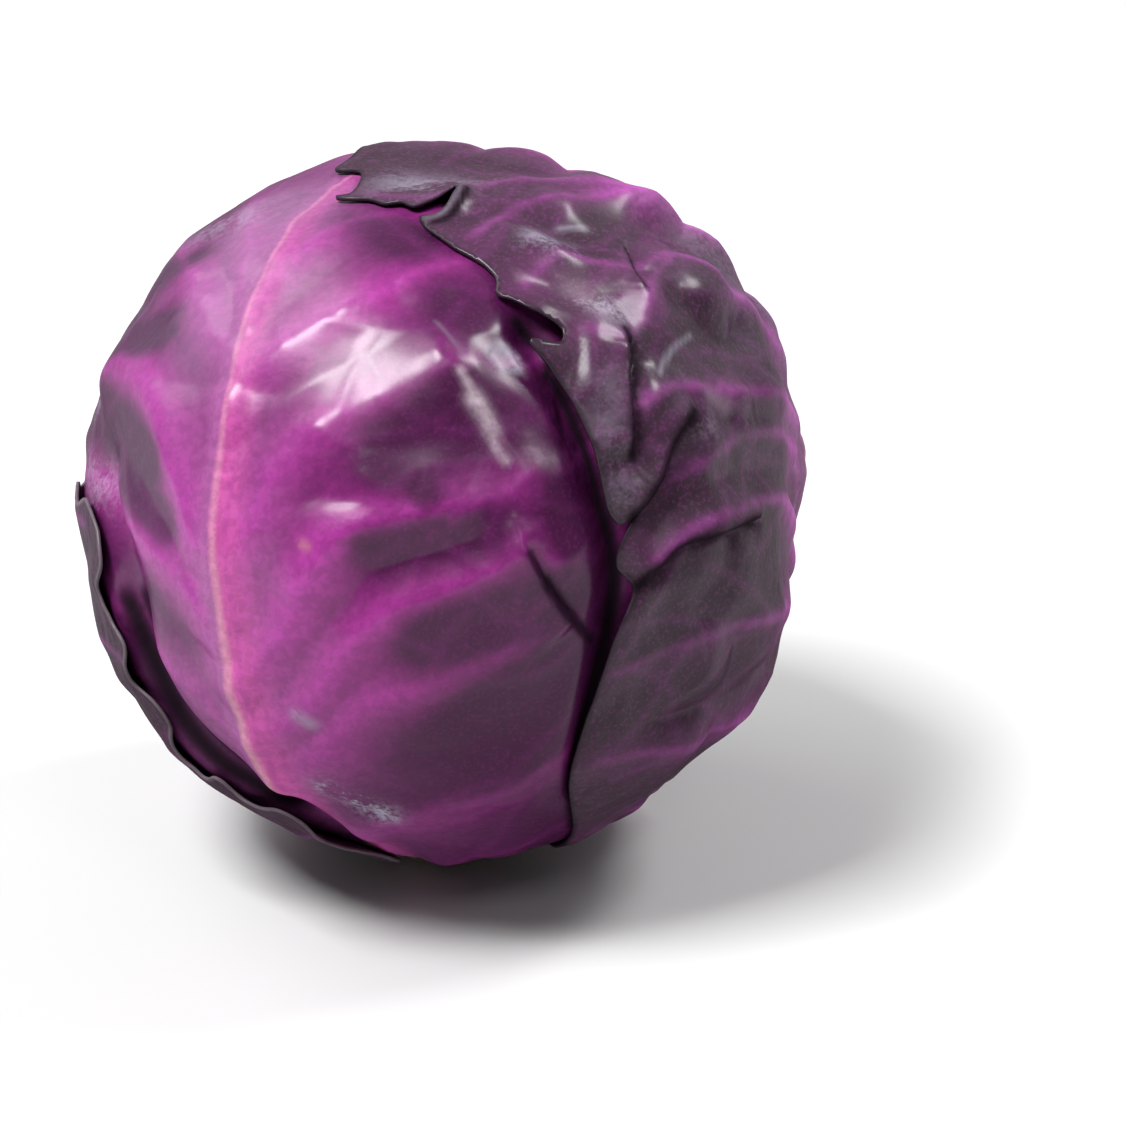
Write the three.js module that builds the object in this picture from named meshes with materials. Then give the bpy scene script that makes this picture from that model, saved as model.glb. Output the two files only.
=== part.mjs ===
// Baby red cabbage: a whole head, as cut, standing on its stem.
// Millimetres, +Z up. The origin is the centre of the stem's flat cut face.
// Places on the head are [longitude, latitude] in degrees, seen from the head's centre:
// longitude 0 faces -Y, 90 faces +X, and latitude 90 is the crown.
import * as THREE from 'three';

// Driving dimensions
const HEAD_RADIUS = 59.3; // mean radius of the outside
const HEAD_CENTRE_HEIGHT = 61.0; // from the cut face of the stem to the head's centre
const INNER_HEAD_DEPTH = 6.8; // from the outside down to the packed inner leaves
const BLADE = 0.85; // thickness of a leaf blade
const GAP = 0.5; // clear space between one leaf and the next
const STEM_RADIUS = 12.4;
const STEM_EDGE_ROUND = 0.9; // rounding round the cut face

// How leaves lie over each other
const SINK_WIDTH = 14; // a covered leaf has sunk by one layer this far inside the cover's edge
const HIDE_START = 9; // relief starts to fade this far outside a covering leaf's edge
const HIDE_END = 3; // and is gone this far outside it
const BEND_RATE = 0.02; // how fast a cover comes down beyond the edge of what it covers, per mm
const SOFT_CONTACT = 0.3; // rounding where a leaf starts to rest on the one below

// Spacing of the faceted surface
const OUTLINE_STEP = 5.2;
const RIB_STEP = 5.2;
const OPEN_STEP = 6.2;
const HIDDEN_STEP = 8.5;
const EDGE_CLEARANCE = 0.55; // of the local spacing, kept free beside the outline
const CANDIDATE_COUNT = 5200;
const INNER_HEAD_DETAIL = 6;
const CREST_SPACING = 0.5; // of RIB_STEP, kept free round a point on a crest or a flank
const FLANK_OFFSET = 2.6; // least distance from a crest to the points on its flanks
const FILL_SPACING = 0.72; // of the step, kept free round a point that fills the open surface
const SHOWN_LIMIT = 0.05; // relief fainter than this share counts as hidden
const CREST_ROUND = 0.7; // radius that blunts a rib's crest
const RIB_BOLDNESS = 1.5; // raises every side rib alike
const RIB_FOOT = 0.08; // share of the midrib's length over which it broadens into the stem
const FOOT_SPREAD = 1.1; // how much wider the midrib is there, in its own widths
const MIDRIB_SIZES = [1.15, 0.35]; // shares of a midrib's height and width at its foot and its tip
const MIDRIB_THINNING = 1.15; // a midrib reaches its tip size this much sooner than its end

// A side rib's height along its length: a share at the start, a swell on the way, sunk at the tip
const RIB_START = 0.75;
const RIB_SWELL = 0.25;
const RIB_SWELL_RATE = 1.3;
const RIB_SINK = 0.35;

// The stem's outline
const STEM_BEVEL = 0.3; // of the rounding, where the outline cuts across it
const STEM_WAIST = [0.97, 4.2]; // share of the radius, and height
const STEM_SHOULDER = 0.94; // share of the radius where the dished top starts
const STEM_DISH_RING = 0.6; // share of the radius of a ring in the dished top
const STEM_SIDES = 28;

// Directions, paths and distances on the head

function direction([longitude, latitude]) {
  const lon = THREE.MathUtils.degToRad(longitude);
  const lat = THREE.MathUtils.degToRad(latitude);
  return new THREE.Vector3(Math.cos(lat) * Math.sin(lon), -Math.cos(lat) * Math.cos(lon), Math.sin(lat));
}

function millimetres(a, b) {
  return a.distanceTo(b) * HEAD_RADIUS;
}

// A smooth line through the places, as directions about `step` millimetres apart
function trace(places, step) {
  const curve = new THREE.CatmullRomCurve3(places.map(direction), false, 'centripetal');
  const count = Math.max(2, Math.ceil((curve.getLength() * HEAD_RADIUS) / step));
  return curve.getSpacedPoints(count).map((p) => p.normalize());
}

// A closed outline that keeps every place as a corner and bends smoothly between them
function traceOutline(places, step) {
  const curve = new THREE.CatmullRomCurve3(places.map(direction), true, 'centripetal');
  const points = [];
  places.forEach((place, i) => {
    const span = millimetres(direction(place), direction(places[(i + 1) % places.length]));
    const count = Math.max(1, Math.round(span / step));
    for (let k = 0; k < count; k += 1) {
      points.push(curve.getPoint((i + k / count) / places.length).normalize());
    }
  });
  return points;
}

// Distance in millimetres from a direction to a line, and how far along the line, 0 to 1
function nearest(line, point, closed = false) {
  let best = Infinity;
  let along = 0;
  const segment = new THREE.Line3();
  const foot = new THREE.Vector3();
  const last = closed ? line.length : line.length - 1;
  for (let i = 0; i < last; i += 1) {
    segment.set(line[i], line[(i + 1) % line.length]);
    const t = segment.closestPointToPointParameter(point, true);
    const distance = foot.copy(segment.start).lerp(segment.end, t).distanceTo(point) * HEAD_RADIUS;
    if (distance < best) {
      best = distance;
      along = (i + t) / last;
    }
  }
  return { distance: best, along };
}

function smoothstep(x, low, high) {
  return THREE.MathUtils.smoothstep(x, low, high);
}

function softMax(a, b) {
  return (a + b + Math.hypot(a - b, SOFT_CONTACT)) / 2;
}

// A flat chart of the head round a centre: a stereographic projection, which keeps circles
function chart(centre) {
  const up = direction(centre);
  const side = new THREE.Vector3(0, 0, 1).cross(up).normalize();
  const rise = up.clone().cross(side);
  return (p) => {
    const scale = 2 / (1 + p.dot(up));
    return new THREE.Vector2(p.dot(side) * scale, p.dot(rise) * scale);
  };
}

function insidePolygon(polygon, p) {
  let inside = false;
  polygon.forEach((a, i) => {
    const b = polygon[(i + 1) % polygon.length];
    if (a.y > p.y !== b.y > p.y && p.x < ((b.x - a.x) * (p.y - a.y)) / (b.y - a.y) + a.x) inside = !inside;
  });
  return inside;
}

// The head's own low, broad swellings, which every leaf follows: [longitude, latitude, height, width]
const SWELLINGS = [
  [60, 45, 1.5, 24],
  [-62, 30, 1.0, 26],
  [80, 8, -2.6, 20],
  [-20, 82, -2.9, 24],
  [-75, -35, 1.0, 22],
  [-20, 15, 0.6, 24],
  [130, 20, 1.2, 26],
  [175, 50, 1.0, 24],
  [-150, 10, -0.8, 22],
  [-130, 55, 0.9, 24],
  [160, -30, 0.9, 24],
  [40, -35, 0.7, 24],
  [0, -90, -1.6, 30],
].map(([lon, lat, height, width]) => ({ at: direction([lon, lat]), height, width }));

function headRadius(n) {
  return SWELLINGS.reduce(
    (radius, s) => radius + s.height * Math.exp(-((millimetres(n, s.at) / s.width) ** 2)),
    HEAD_RADIUS,
  );
}

// The leaves, from the inside out.
// A rib is [height, width, places from the midrib to the edge]. A fold is the same, with a
// negative height for a crease. A hollow is a long dip that also runs under the next leaf.
const LEAVES = [
  {
    name: 'leaf_back',
    colour: 0x5a3358,
    roughness: 0.42,
    centre: [192, 5],
    outline: [
      [190, -76], [158, -75], [134, -69], [122, -55], [114, -34], [110, -6], [114, 24], [126, 48],
      [148, 64], [182, 76], [228, 77], [262, 66], [272, 46], [275, 22], [275, -2], [272, -28],
      [264, -52], [248, -68], [222, -75],
    ],
    midrib: [1.9, 3.6, [[190, -76], [190, -45], [190, -10], [188, 25], [184, 48], [174, 66]]],
    ribs: [
      [1.0, 4.2, [[190, -62], [214, -54], [244, -44], [258, -38]]],
      [1.2, 4.4, [[190, -45], [208, -34], [232, -25], [262, -18]]],
      [1.3, 4.6, [[190, -22], [204, -8], [224, 2], [246, 7], [266, 8]]],
      [1.3, 4.6, [[189, 2], [202, 17], [220, 27], [240, 31], [265, 31]]],
      [1.1, 4.2, [[188, 22], [199, 38], [216, 49], [240, 53], [262, 52]]],
      [0.9, 4.0, [[185, 42], [196, 58], [218, 67], [244, 68]]],
      [1.0, 4.2, [[190, -58], [170, -48], [142, -40]]],
      [1.2, 4.4, [[190, -34], [178, -22], [160, -13], [130, -8]]],
      [1.2, 4.4, [[189, -8], [178, 6], [160, 15], [130, 20]]],
      [1.1, 4.2, [[188, 16], [178, 30], [160, 40], [135, 44]]],
      [0.9, 4.0, [[186, 36], [172, 50], [155, 56]]],
    ],
    folds: [
      [-1.0, 2.4, [[222, -12], [232, -8], [238, -10]]],
      [0.9, 3.0, [[206, 8], [212, 4], [216, -2]]],
    ],
    hollows: [[-1.3, 9, [[246, -40], [248, -20], [246, 10], [240, 36], [228, 56]]]],
    rim: [0, 10],
  },
  {
    name: 'leaf_front',
    colour: 0x8c3a80,
    roughness: 0.36,
    centre: [-33, 6],
    outline: [
      [-20, -76], [12, -75], [36, -68], [46, -52], [48, -32], [49, -8], [50, 20], [48, 42],
      [40, 60], [20, 72], [-40, 83], [-125, 82], [-140, 68], [-131, 52], [-123, 36], [-119, 18],
      [-117, 2], [-115, -14], [-110, -34], [-100, -54], [-80, -69], [-52, -75],
    ],
    midrib: [
      1.7, 3.4,
      [
        [-20, -76], [-21, -60], [-22, -49], [-27.5, -40], [-29.5, -20], [-31, 0], [-34, 20],
        [-36, 33], [-40, 43], [-45, 51.5], [-50, 58.5], [-59, 64], [-70, 70], [-92, 75], [-125, 77],
      ],
    ],
    ribs: [
      [0.7, 4.2, [[-21, -62], [0, -56], [20, -46], [40, -32]]],
      [0.8, 4.4, [[-24, -47], [-12, -38], [5, -30], [24, -22], [46, -14]]],
      [0.9, 4.4, [[-29, -32], [-22, -24], [-16, -18], [-10, -11], [0, -6.5], [10, -2], [20, 1], [36, 6]]],
      [
        1.2, 4.0,
        [
          [-30, -20], [-20, -13], [-13, -3], [-5, 5], [5, 9], [10, 11], [13, 15], [18, 11], [25, 11],
          [44, 16],
        ],
      ],
      [
        1.4, 4.2,
        [[-30.5, -10], [-22, -1], [-18, 8], [-12, 16], [-5, 18], [5, 20], [15, 22.5], [24, 25], [44, 32]],
      ],
      [
        1.6, 4.6,
        [[-31, 0], [-26, 18], [-22, 26], [-16, 32], [-5, 37], [4, 40], [14, 40.5], [28, 43], [42, 50]],
      ],
      [1.2, 5.0, [[-36, 33], [-28, 42], [-18, 49], [-10, 53], [0, 58], [10, 60], [26, 64]]],
      [0.9, 4.2, [[-41, 45], [-41, 55], [-38, 67], [-32, 71], [-18, 73], [0, 73]]],
      [0.8, 4.4, [[-40, 43], [-50, 50], [-60, 56], [-70, 58.5], [-90, 60], [-125, 58]]],
      [1.0, 4.4, [[-37, 36], [-46, 41], [-56, 45], [-68, 47], [-84, 47], [-120, 44]]],
      [1.4, 4.4, [[-34, 5], [-40, 16], [-45, 21], [-49, 26], [-60, 30.5], [-70, 30], [-80, 24], [-114, 18]]],
      [1.3, 4.2, [[-30.5, -10], [-36, 1], [-45, 7.5], [-50, 8], [-60, 11.5], [-72, 11], [-108, 0]]],
      [0.8, 4.0, [[-29.5, -25], [-35, -17], [-46, -10], [-50, -8], [-68, -6], [-100, -18]]],
    ],
    folds: [
      [1.8, 2.2, [[12.5, 16.5], [14, 14], [15.5, 11]]],
      [-1.6, 1.8, [[15, 12.5], [18.5, 7], [23.5, 0.5]]],
      [1.6, 2.4, [[5, 40], [9, 34], [13, 28]]],
      [-0.9, 3.4, [[-14, 26], [-4, 29], [6, 32]]],
      [-0.9, 3.4, [[-8, 11], [2, 13.5], [10, 17]]],
      [-0.8, 3.4, [[-66, 20], [-58, 18], [-50, 15]]],
      [0.7, 2.4, [[-84, 38], [-76, 43], [-66, 47]]],
      [0.6, 2.4, [[-87, 54], [-78, 53], [-70, 50]]],
      [-0.5, 1.8, [[-44.5, 52], [-38, 51.5], [-34, 51.5]]],
    ],
    hollows: [
      [
        -2.8, 4.0,
        [[21, 45], [24.5, 36], [26.5, 27], [28.5, 16], [28.5, 5], [27, -6], [25.5, -18], [27, -30]],
      ],
      [-2.6, 12, [[38, 42], [40, 26], [42, 10], [40, -8]]],
      [-3.0, 5.0, [[-66, 14], [-56, 4], [-53, -8], [-50, -20], [-42, -30], [-32, -38], [-24, -50]]],
      [-2.2, 6, [[-90, 22], [-80, 18], [-72, 15]]],
    ],
    rim: [0, 10],
  },
  {
    name: 'leaf_right',
    colour: 0x4d3b4c,
    roughness: 0.45,
    centre: [100, 15],
    outline: [
      [102, -76], [132, -75], [154, -69], [163, -55], [168, -40], [171, -25], [173.5, -8], [172, 6],
      [175, 20], [172, 34], [173, 48], [181, 60], [206, 69], [240, 74], [259, 73], [268, 77.3],
      [303, 73.5], [298, 71], [304, 71.5], [318, 73.9], [331, 73.6], [338, 74.5], [349, 72.9], [357, 74.5],
      [373, 77.5], [380, 79.7], [374.5, 76.5], [369.5, 73.5], [364.5, 70.8], [358, 69.6], [353, 70],
      [357, 67], [362, 64.5], [367, 61.5], [371, 59.5], [374.5, 57.2], [376.3, 54.5], [375.3, 51.5],
      [378, 50.2], [381, 48], [384, 46.2], [386.5, 43.6], [385, 41.8], [379, 42.8], [382, 38.4],
      [384.3, 34], [385.5, 29], [386.5, 24], [387, 20], [387.8, 16.4], [389.6, 14.6], [391.6, 15.8],
      [388.8, 11.2], [388.6, 8.4], [390.6, 5.4], [388, 0], [386, -8], [384.5, -16], [383, -25],
      [385, -34], [389, -43], [394, -54], [406, -67], [431, -75],
    ],
    midrib: [
      2.0, 3.8,
      [[102, -76], [102, -50], [101, -20], [100, 8], [98, 30], [93, 50], [82, 66], [56, 78], [0, 83]],
    ],
    ribs: [
      [1.0, 4.4, [[102, -62], [80, -54], [58, -50], [36, -46]]],
      [1.1, 4.4, [[102, -46], [84, -35], [64, -28], [44, -25], [27, -24]]],
      [1.2, 4.4, [[101, -28], [82, -15], [62, -8], [42, -6], [28, -8]]],
      [1.5, 3.2, [[101, -16], [90, -4], [75, 6], [60, 11], [50, 12.6], [40, 12.4], [34, 9]]],
      [1.2, 4.0, [[100, 2], [85, 12], [70, 19], [55, 21.5], [45, 20.5], [37, 19.5]]],
      [1.5, 3.8, [[100, 10], [90, 17], [78, 22], [66, 26.5], [55, 29.5], [45, 32], [35, 31]]],
      [1.4, 4.0, [[99, 22], [90, 32], [80, 40], [70, 50], [54, 51], [46, 53.5], [36, 57], [23, 53]]],
      [1.0, 3.6, [[68, 50], [55, 48], [45, 43], [38, 41], [30, 43]]],
      [1.4, 4.4, [[98, 38], [89, 57], [80, 61.5], [60, 66.5], [40, 69], [28, 68], [13, 64]]],
      [1.0, 4.0, [[90, 56], [70, 72], [30, 77], [-10, 76], [-45, 75]]],
      [1.0, 4.2, [[101, -50], [122, -44], [145, -36], [164, -32]]],
      [1.3, 4.4, [[101, -34], [120, -24], [145, -14], [170, -10]]],
      [1.4, 4.4, [[101, -14], [118, -1], [142, 9], [170, 12]]],
      [1.4, 4.4, [[100, 6], [116, 20], [140, 30], [170, 32]]],
      [1.3, 4.4, [[98, 26], [114, 42], [138, 52], [168, 54]]],
      [1.1, 4.2, [[94, 46], [112, 62], [145, 70], [195, 72]]],
    ],
    folds: [
      [1.6, 3.6, [[31, 46], [29.5, 38], [29, 28], [29.4, 20]]],
      [-4.2, 1.7, [[42, 40], [37, 37], [34, 33], [33, 28], [32.6, 22]]],
      [1.0, 2.6, [[38, 33], [36, 28], [33.5, 20]]],
      [-4.0, 1.9, [[47, 29], [42, 26.5], [38, 22.5], [35, 18.5], [31.5, 14.6]]],
      [-3.6, 1.8, [[29.5, 5], [33, 7], [37, 9.6], [45, 10.2], [53, 9.4], [60, 8.6]]],
      [1.0, 4.0, [[28, 1], [38, 4], [50, 3]]],
      [-1.2, 1.8, [[60, 55.5], [52, 48.5]]],
      [-1.0, 3.6, [[70, 33], [60, 36], [50, 37]]],
      [-0.9, 4.0, [[75, 56], [60, 59], [44, 61]]],
      [0.9, 2.6, [[32, 62], [38, 58], [40, 50]]],
      [-1.0, 4.0, [[130, 14], [145, 20], [158, 22]]],
      [-0.9, 4.0, [[125, -14], [140, -6], [155, -2]]],
    ],
    hollows: [],
    rim: [0.5, 7],
  },
  {
    name: 'leaf_outer',
    colour: 0x3f2f3f,
    roughness: 0.5,
    centre: [-112, -32],
    outline: [
      [-120, -76], [-88, -76.5], [-54, -75], [-26, -70], [-14, -61], [-16, -55], [-23, -50.5],
      [-25.5, -46], [-27, -40], [-32, -37.5], [-37, -38.5], [-42, -38], [-46, -34], [-50, -35.5],
      [-54, -30], [-52.5, -25], [-54, -21], [-58, -18], [-55.8, -11], [-60, -8], [-62.3, -4],
      [-60, 1], [-61.5, 4], [-66, 7.5], [-71, 8], [-76, 5.5], [-81, 7], [-88, 4], [-95, 2],
      [-101, 5], [-110, 11], [-119, 9], [-127, 15], [-136, 13], [-143, 17], [-151, 11],
      [-156, 11], [-161, 1], [-166, -6], [-165, -18], [-169, -28], [-165, -40], [-167, -54], [-160, -68],
      [-148, -75],
    ],
    midrib: [2.2, 4.0, [[-120, -76], [-119, -55], [-118, -30], [-117, -5], [-117, 20]]],
    ribs: [
      [1.0, 4.4, [[-120, -64], [-96, -62], [-66, -60], [-40, -54], [-26, -44]]],
      [1.2, 4.4, [[-119, -52], [-100, -45], [-80, -41], [-62, -36], [-50, -32]]],
      [1.3, 4.4, [[-118, -36], [-102, -25], [-84, -18], [-70, -16], [-58, -14]]],
      [1.2, 4.2, [[-118, -18], [-104, -6], [-88, 1], [-70, 4]]],
      [1.0, 4.0, [[-117, -2], [-106, 8], [-94, 14]]],
      [1.1, 4.4, [[-119, -54], [-136, -46], [-160, -38]]],
      [1.2, 4.4, [[-118, -36], [-134, -25], [-162, -14]]],
      [1.2, 4.2, [[-118, -18], [-132, -6], [-156, 4]]],
      [1.0, 4.0, [[-117, -2], [-128, 10], [-142, 16]]],
    ],
    folds: [
      [-0.9, 3.6, [[-72, -28], [-64, -26], [-56, -22]]],
      [1.0, 2.6, [[-64, -2], [-70, -6], [-78, -8]]],
      [1.0, 2.6, [[-57, -15], [-64, -20], [-74, -24]]],
      [-0.8, 3.2, [[-150, -2], [-142, 4], [-136, 12]]],
    ],
    hollows: [],
    rim: [1.5, 9],
  },
];

const TRACE_STEP = 3;

LEAVES.forEach((leaf) => {
  const ridge = ([height, width, places]) => ({ height, width, line: trace(places, TRACE_STEP) });
  leaf.midribRidge = ridge(leaf.midrib);
  leaf.ribRidges = leaf.ribs.map(ridge);
  leaf.foldRidges = leaf.folds.map(ridge);
  leaf.hollowRidges = leaf.hollows.map(ridge);
  leaf.project = chart(leaf.centre);
  leaf.edge = traceOutline(leaf.outline, OUTLINE_STEP);
  leaf.polygon = leaf.edge.map(leaf.project);
});

// Distance to a leaf's edge in millimetres, positive inside the leaf
function edgeDistance(leaf, n) {
  const { distance } = nearest(leaf.edge, n, true);
  return insidePolygon(leaf.polygon, leaf.project(n)) ? distance : -distance;
}

// Height of a long ridge: sharp-crested, with sides that curve up to it like a tent
function ridgeHeight({ height, width, line }, n) {
  const { distance, along } = nearest(line, n);
  const fromCrest = Math.hypot(distance, CREST_ROUND) - CREST_ROUND;
  const swell = RIB_SWELL * Math.sin(Math.PI * Math.min(1, along * RIB_SWELL_RATE));
  const taper = RIB_START + swell - RIB_SINK * along;
  return height * taper * Math.exp(-fromCrest / width);
}

function hollowDepth({ height, width, line }, n) {
  const { distance } = nearest(line, n);
  return height * Math.exp(-((distance / width) ** 2));
}

// The thick midrib narrows from a broad foot at the stem to a thin line at the tip
function midribHeight({ height, width, line }, n) {
  const { distance, along } = nearest(line, n);
  const [footSize, tipSize] = MIDRIB_SIZES;
  const size = THREE.MathUtils.lerp(footSize, tipSize, Math.min(1, along * MIDRIB_THINNING));
  const spread = (1 + size) / 2 + FOOT_SPREAD * Math.exp(-along / RIB_FOOT);
  return height * size * Math.exp(-((distance / (width * spread)) ** 2));
}

// Outer and inner radius of leaf number `index` in direction n
function leafRadii(index, n) {
  const leaf = LEAVES[index];
  let shown = 1;
  let sunk = 0;
  LEAVES.slice(index + 1).forEach((cover) => {
    const distance = edgeDistance(cover, n);
    shown *= smoothstep(-distance, HIDE_END, HIDE_START);
    sunk += smoothstep(distance, 0, SINK_WIDTH);
  });
  let floor = headRadius(n) - INNER_HEAD_DEPTH;
  LEAVES.slice(0, index).forEach((below, i) => {
    const outside = Math.max(0, -edgeDistance(below, n));
    floor = Math.max(floor, leafRadii(i, n).outer - BEND_RATE * outside * outside);
  });
  floor += GAP;
  const ribs = RIB_BOLDNESS * Math.max(0, ...leaf.ribRidges.map((r) => ridgeHeight(r, n)));
  const folds = leaf.foldRidges.reduce((sum, r) => sum + ridgeHeight(r, n), 0);
  const hollows = leaf.hollowRidges.reduce((sum, r) => sum + hollowDepth(r, n), 0);
  const midrib = shown * midribHeight(leaf.midribRidge, n);
  const [rimHeight, rimWidth] = leaf.rim;
  const rim = rimHeight * Math.max(0, 1 - Math.abs(edgeDistance(leaf, n)) / rimWidth) ** 2;
  const free = headRadius(n) + shown * (ribs + folds) + midrib + rim + hollows - sunk * (BLADE + GAP);
  const outer = softMax(free, floor + BLADE);
  return { outer, inner: Math.max(floor, outer - BLADE - midrib), shown };
}

const CHART_REACH = 60; // well outside every leaf's chart, in head radii
const SURROUND = [[-1, -1], [1, -1], [0, 1]].map(
  ([x, y]) => new THREE.Vector2(x, y).multiplyScalar(CHART_REACH),
);

// Delaunay triangles of points in the chart, by adding one point at a time
function triangulate(points) {
  const all = [...points, ...SURROUND];
  const circle = (a, b, c) => {
    const [p, q, r] = [all[a], all[b], all[c]];
    const d = 2 * (p.x * (q.y - r.y) + q.x * (r.y - p.y) + r.x * (p.y - q.y));
    const [pp, qq, rr] = [p.lengthSq(), q.lengthSq(), r.lengthSq()];
    const x = (pp * (q.y - r.y) + qq * (r.y - p.y) + rr * (p.y - q.y)) / d;
    const y = (pp * (r.x - q.x) + qq * (p.x - r.x) + rr * (q.x - p.x)) / d;
    return { corners: [a, b, c], x, y, radiusSq: (p.x - x) ** 2 + (p.y - y) ** 2 };
  };
  let triangles = [circle(points.length, points.length + 1, points.length + 2)];
  points.forEach((point, index) => {
    const edges = new Map();
    triangles = triangles.filter((t) => {
      if ((point.x - t.x) ** 2 + (point.y - t.y) ** 2 >= t.radiusSq) return true;
      t.corners.forEach((a, i) => {
        const b = t.corners[(i + 1) % 3];
        if (edges.has(`${b},${a}`)) edges.delete(`${b},${a}`);
        else edges.set(`${a},${b}`, [a, b]);
      });
      return false;
    });
    edges.forEach(([a, b]) => triangles.push(circle(a, b, index)));
  });
  return triangles.map((t) => t.corners).filter((corners) => Math.max(...corners) < points.length);
}

// Evenly scattered directions over the whole head, in a spiral
const GOLDEN_ANGLE = Math.PI * (3 - Math.sqrt(5));
const CANDIDATES = Array.from({ length: CANDIDATE_COUNT }, (_, i) => {
  const z = 1 - (2 * i + 1) / CANDIDATE_COUNT;
  const across = Math.sqrt(1 - z * z);
  return new THREE.Vector3(across * Math.cos(i * GOLDEN_ANGLE), across * Math.sin(i * GOLDEN_ANGLE), z);
});

// Surface points of a leaf: its outline, then crests and flanks of its relief, then fill
function surfacePoints(index) {
  const leaf = LEAVES[index];
  const points = [...leaf.edge];
  const isFree = (p, spacing) => points.every((q) => millimetres(p, q) > spacing);
  const crestSpacing = RIB_STEP * CREST_SPACING;
  const offer = (p) => {
    const inside = edgeDistance(leaf, p);
    if (inside < EDGE_CLEARANCE * crestSpacing) return;
    const { shown } = leafRadii(index, p);
    if (shown > SHOWN_LIMIT && isFree(p, crestSpacing)) points.push(p);
  };
  const ridges = [...leaf.foldRidges, leaf.midribRidge, ...leaf.ribRidges];
  ridges.forEach(({ line }) => {
    const crest = new THREE.CatmullRomCurve3(line);
    const steps = Math.max(2, Math.round((crest.getLength() * HEAD_RADIUS) / RIB_STEP));
    crest.getSpacedPoints(steps).forEach((p) => offer(p.normalize()));
  });
  ridges.forEach(({ line, width }) => {
    const crest = new THREE.CatmullRomCurve3(line);
    const steps = Math.max(2, Math.round((crest.getLength() * HEAD_RADIUS) / RIB_STEP));
    for (let i = 0; i < steps; i += 1) {
      const at = crest.getPointAt((i + 0.5) / steps).normalize();
      const across = crest.getTangentAt((i + 0.5) / steps).cross(at).normalize();
      const offset = Math.max(FLANK_OFFSET, width) / HEAD_RADIUS;
      [-1, 1].forEach((side) => offer(at.clone().addScaledVector(across, side * offset).normalize()));
    }
  });
  CANDIDATES.forEach((p) => {
    const inside = edgeDistance(leaf, p);
    if (inside < EDGE_CLEARANCE * OUTLINE_STEP) return;
    const spacing = leafRadii(index, p).shown > SHOWN_LIMIT ? OPEN_STEP : HIDDEN_STEP;
    if (isFree(p, spacing * FILL_SPACING)) points.push(p.clone());
  });
  return points;
}

// A leaf as a closed shell: the same triangles outside and inside, joined by a wall round the edge
function leafGeometry(index) {
  const leaf = LEAVES[index];
  const points = surfacePoints(index);
  const flat = points.map(leaf.project);
  const triangles = triangulate(flat).filter(([a, b, c]) => {
    const middle = flat[a].clone().add(flat[b]).add(flat[c]).divideScalar(3);
    return insidePolygon(leaf.polygon, middle);
  });
  const open = new Map();
  triangles.forEach((corners) => {
    corners.forEach((a, i) => {
      const b = corners[(i + 1) % 3];
      if (open.has(`${b},${a}`)) open.delete(`${b},${a}`);
      else open.set(`${a},${b}`, [a, b]);
    });
  });
  const radii = points.map((p) => leafRadii(index, p));
  const outer = points.map((p, i) => p.clone().multiplyScalar(radii[i].outer));
  const inner = points.map((p, i) => p.clone().multiplyScalar(radii[i].inner));
  const count = points.length;
  const faces = [];
  triangles.forEach(([a, b, c]) => faces.push([a, b, c], [count + a, count + c, count + b]));
  open.forEach(([a, b]) => faces.push([a, count + a, b], [b, count + a, count + b]));
  const geometry = new THREE.BufferGeometry().setFromPoints([...outer, ...inner]);
  geometry.setIndex(faces.flat());
  geometry.computeVertexNormals();
  return geometry;
}

function leafMesh(leaf, index) {
  const material = new THREE.MeshStandardMaterial({
    color: leaf.colour,
    roughness: leaf.roughness,
    metalness: 0,
  });
  const mesh = new THREE.Mesh(leafGeometry(index), material);
  mesh.name = leaf.name;
  return mesh;
}

// The packed inner leaves and the core, as one solid
function innerHeadMesh() {
  const geometry = new THREE.IcosahedronGeometry(1, INNER_HEAD_DETAIL);
  const place = geometry.getAttribute('position');
  const n = new THREE.Vector3();
  for (let i = 0; i < place.count; i += 1) {
    n.fromBufferAttribute(place, i).normalize();
    n.multiplyScalar(headRadius(n) - INNER_HEAD_DEPTH);
    place.setXYZ(i, n.x, n.y, n.z);
  }
  geometry.computeVertexNormals();
  const material = new THREE.MeshStandardMaterial({ color: 0x6b3a68, roughness: 0.5, metalness: 0 });
  const mesh = new THREE.Mesh(geometry, material);
  mesh.name = 'inner_head';
  return mesh;
}

// The cut stem: a short stub with a flat foot and a top that is dished to the inner head
function stemMesh() {
  const dish = headRadius(new THREE.Vector3(0, 0, -1)) - INNER_HEAD_DEPTH + GAP;
  const top = (r) => HEAD_CENTRE_HEIGHT - Math.sqrt(dish * dish - r * r);
  const bevel = STEM_EDGE_ROUND * STEM_BEVEL;
  const [waist, waistHeight] = STEM_WAIST;
  const shoulder = STEM_RADIUS * STEM_SHOULDER;
  const dishRing = STEM_RADIUS * STEM_DISH_RING;
  const profile = [
    [0, 0],
    [STEM_RADIUS - STEM_EDGE_ROUND, 0],
    [STEM_RADIUS - bevel, bevel],
    [STEM_RADIUS, STEM_EDGE_ROUND],
    [STEM_RADIUS * waist, waistHeight],
    [shoulder, top(shoulder)],
    [dishRing, top(dishRing)],
    [0, top(0)],
  ].map(([r, z]) => new THREE.Vector2(r, z));
  const geometry = new THREE.LatheGeometry(profile, STEM_SIDES);
  geometry.rotateX(Math.PI / 2);
  const material = new THREE.MeshStandardMaterial({ color: 0xd9cfae, roughness: 0.7, metalness: 0 });
  const mesh = new THREE.Mesh(geometry, material);
  mesh.name = 'stem_stump';
  return mesh;
}

const head = new THREE.Group();
head.position.z = HEAD_CENTRE_HEIGHT;
head.add(innerHeadMesh(), ...LEAVES.map(leafMesh));

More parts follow.
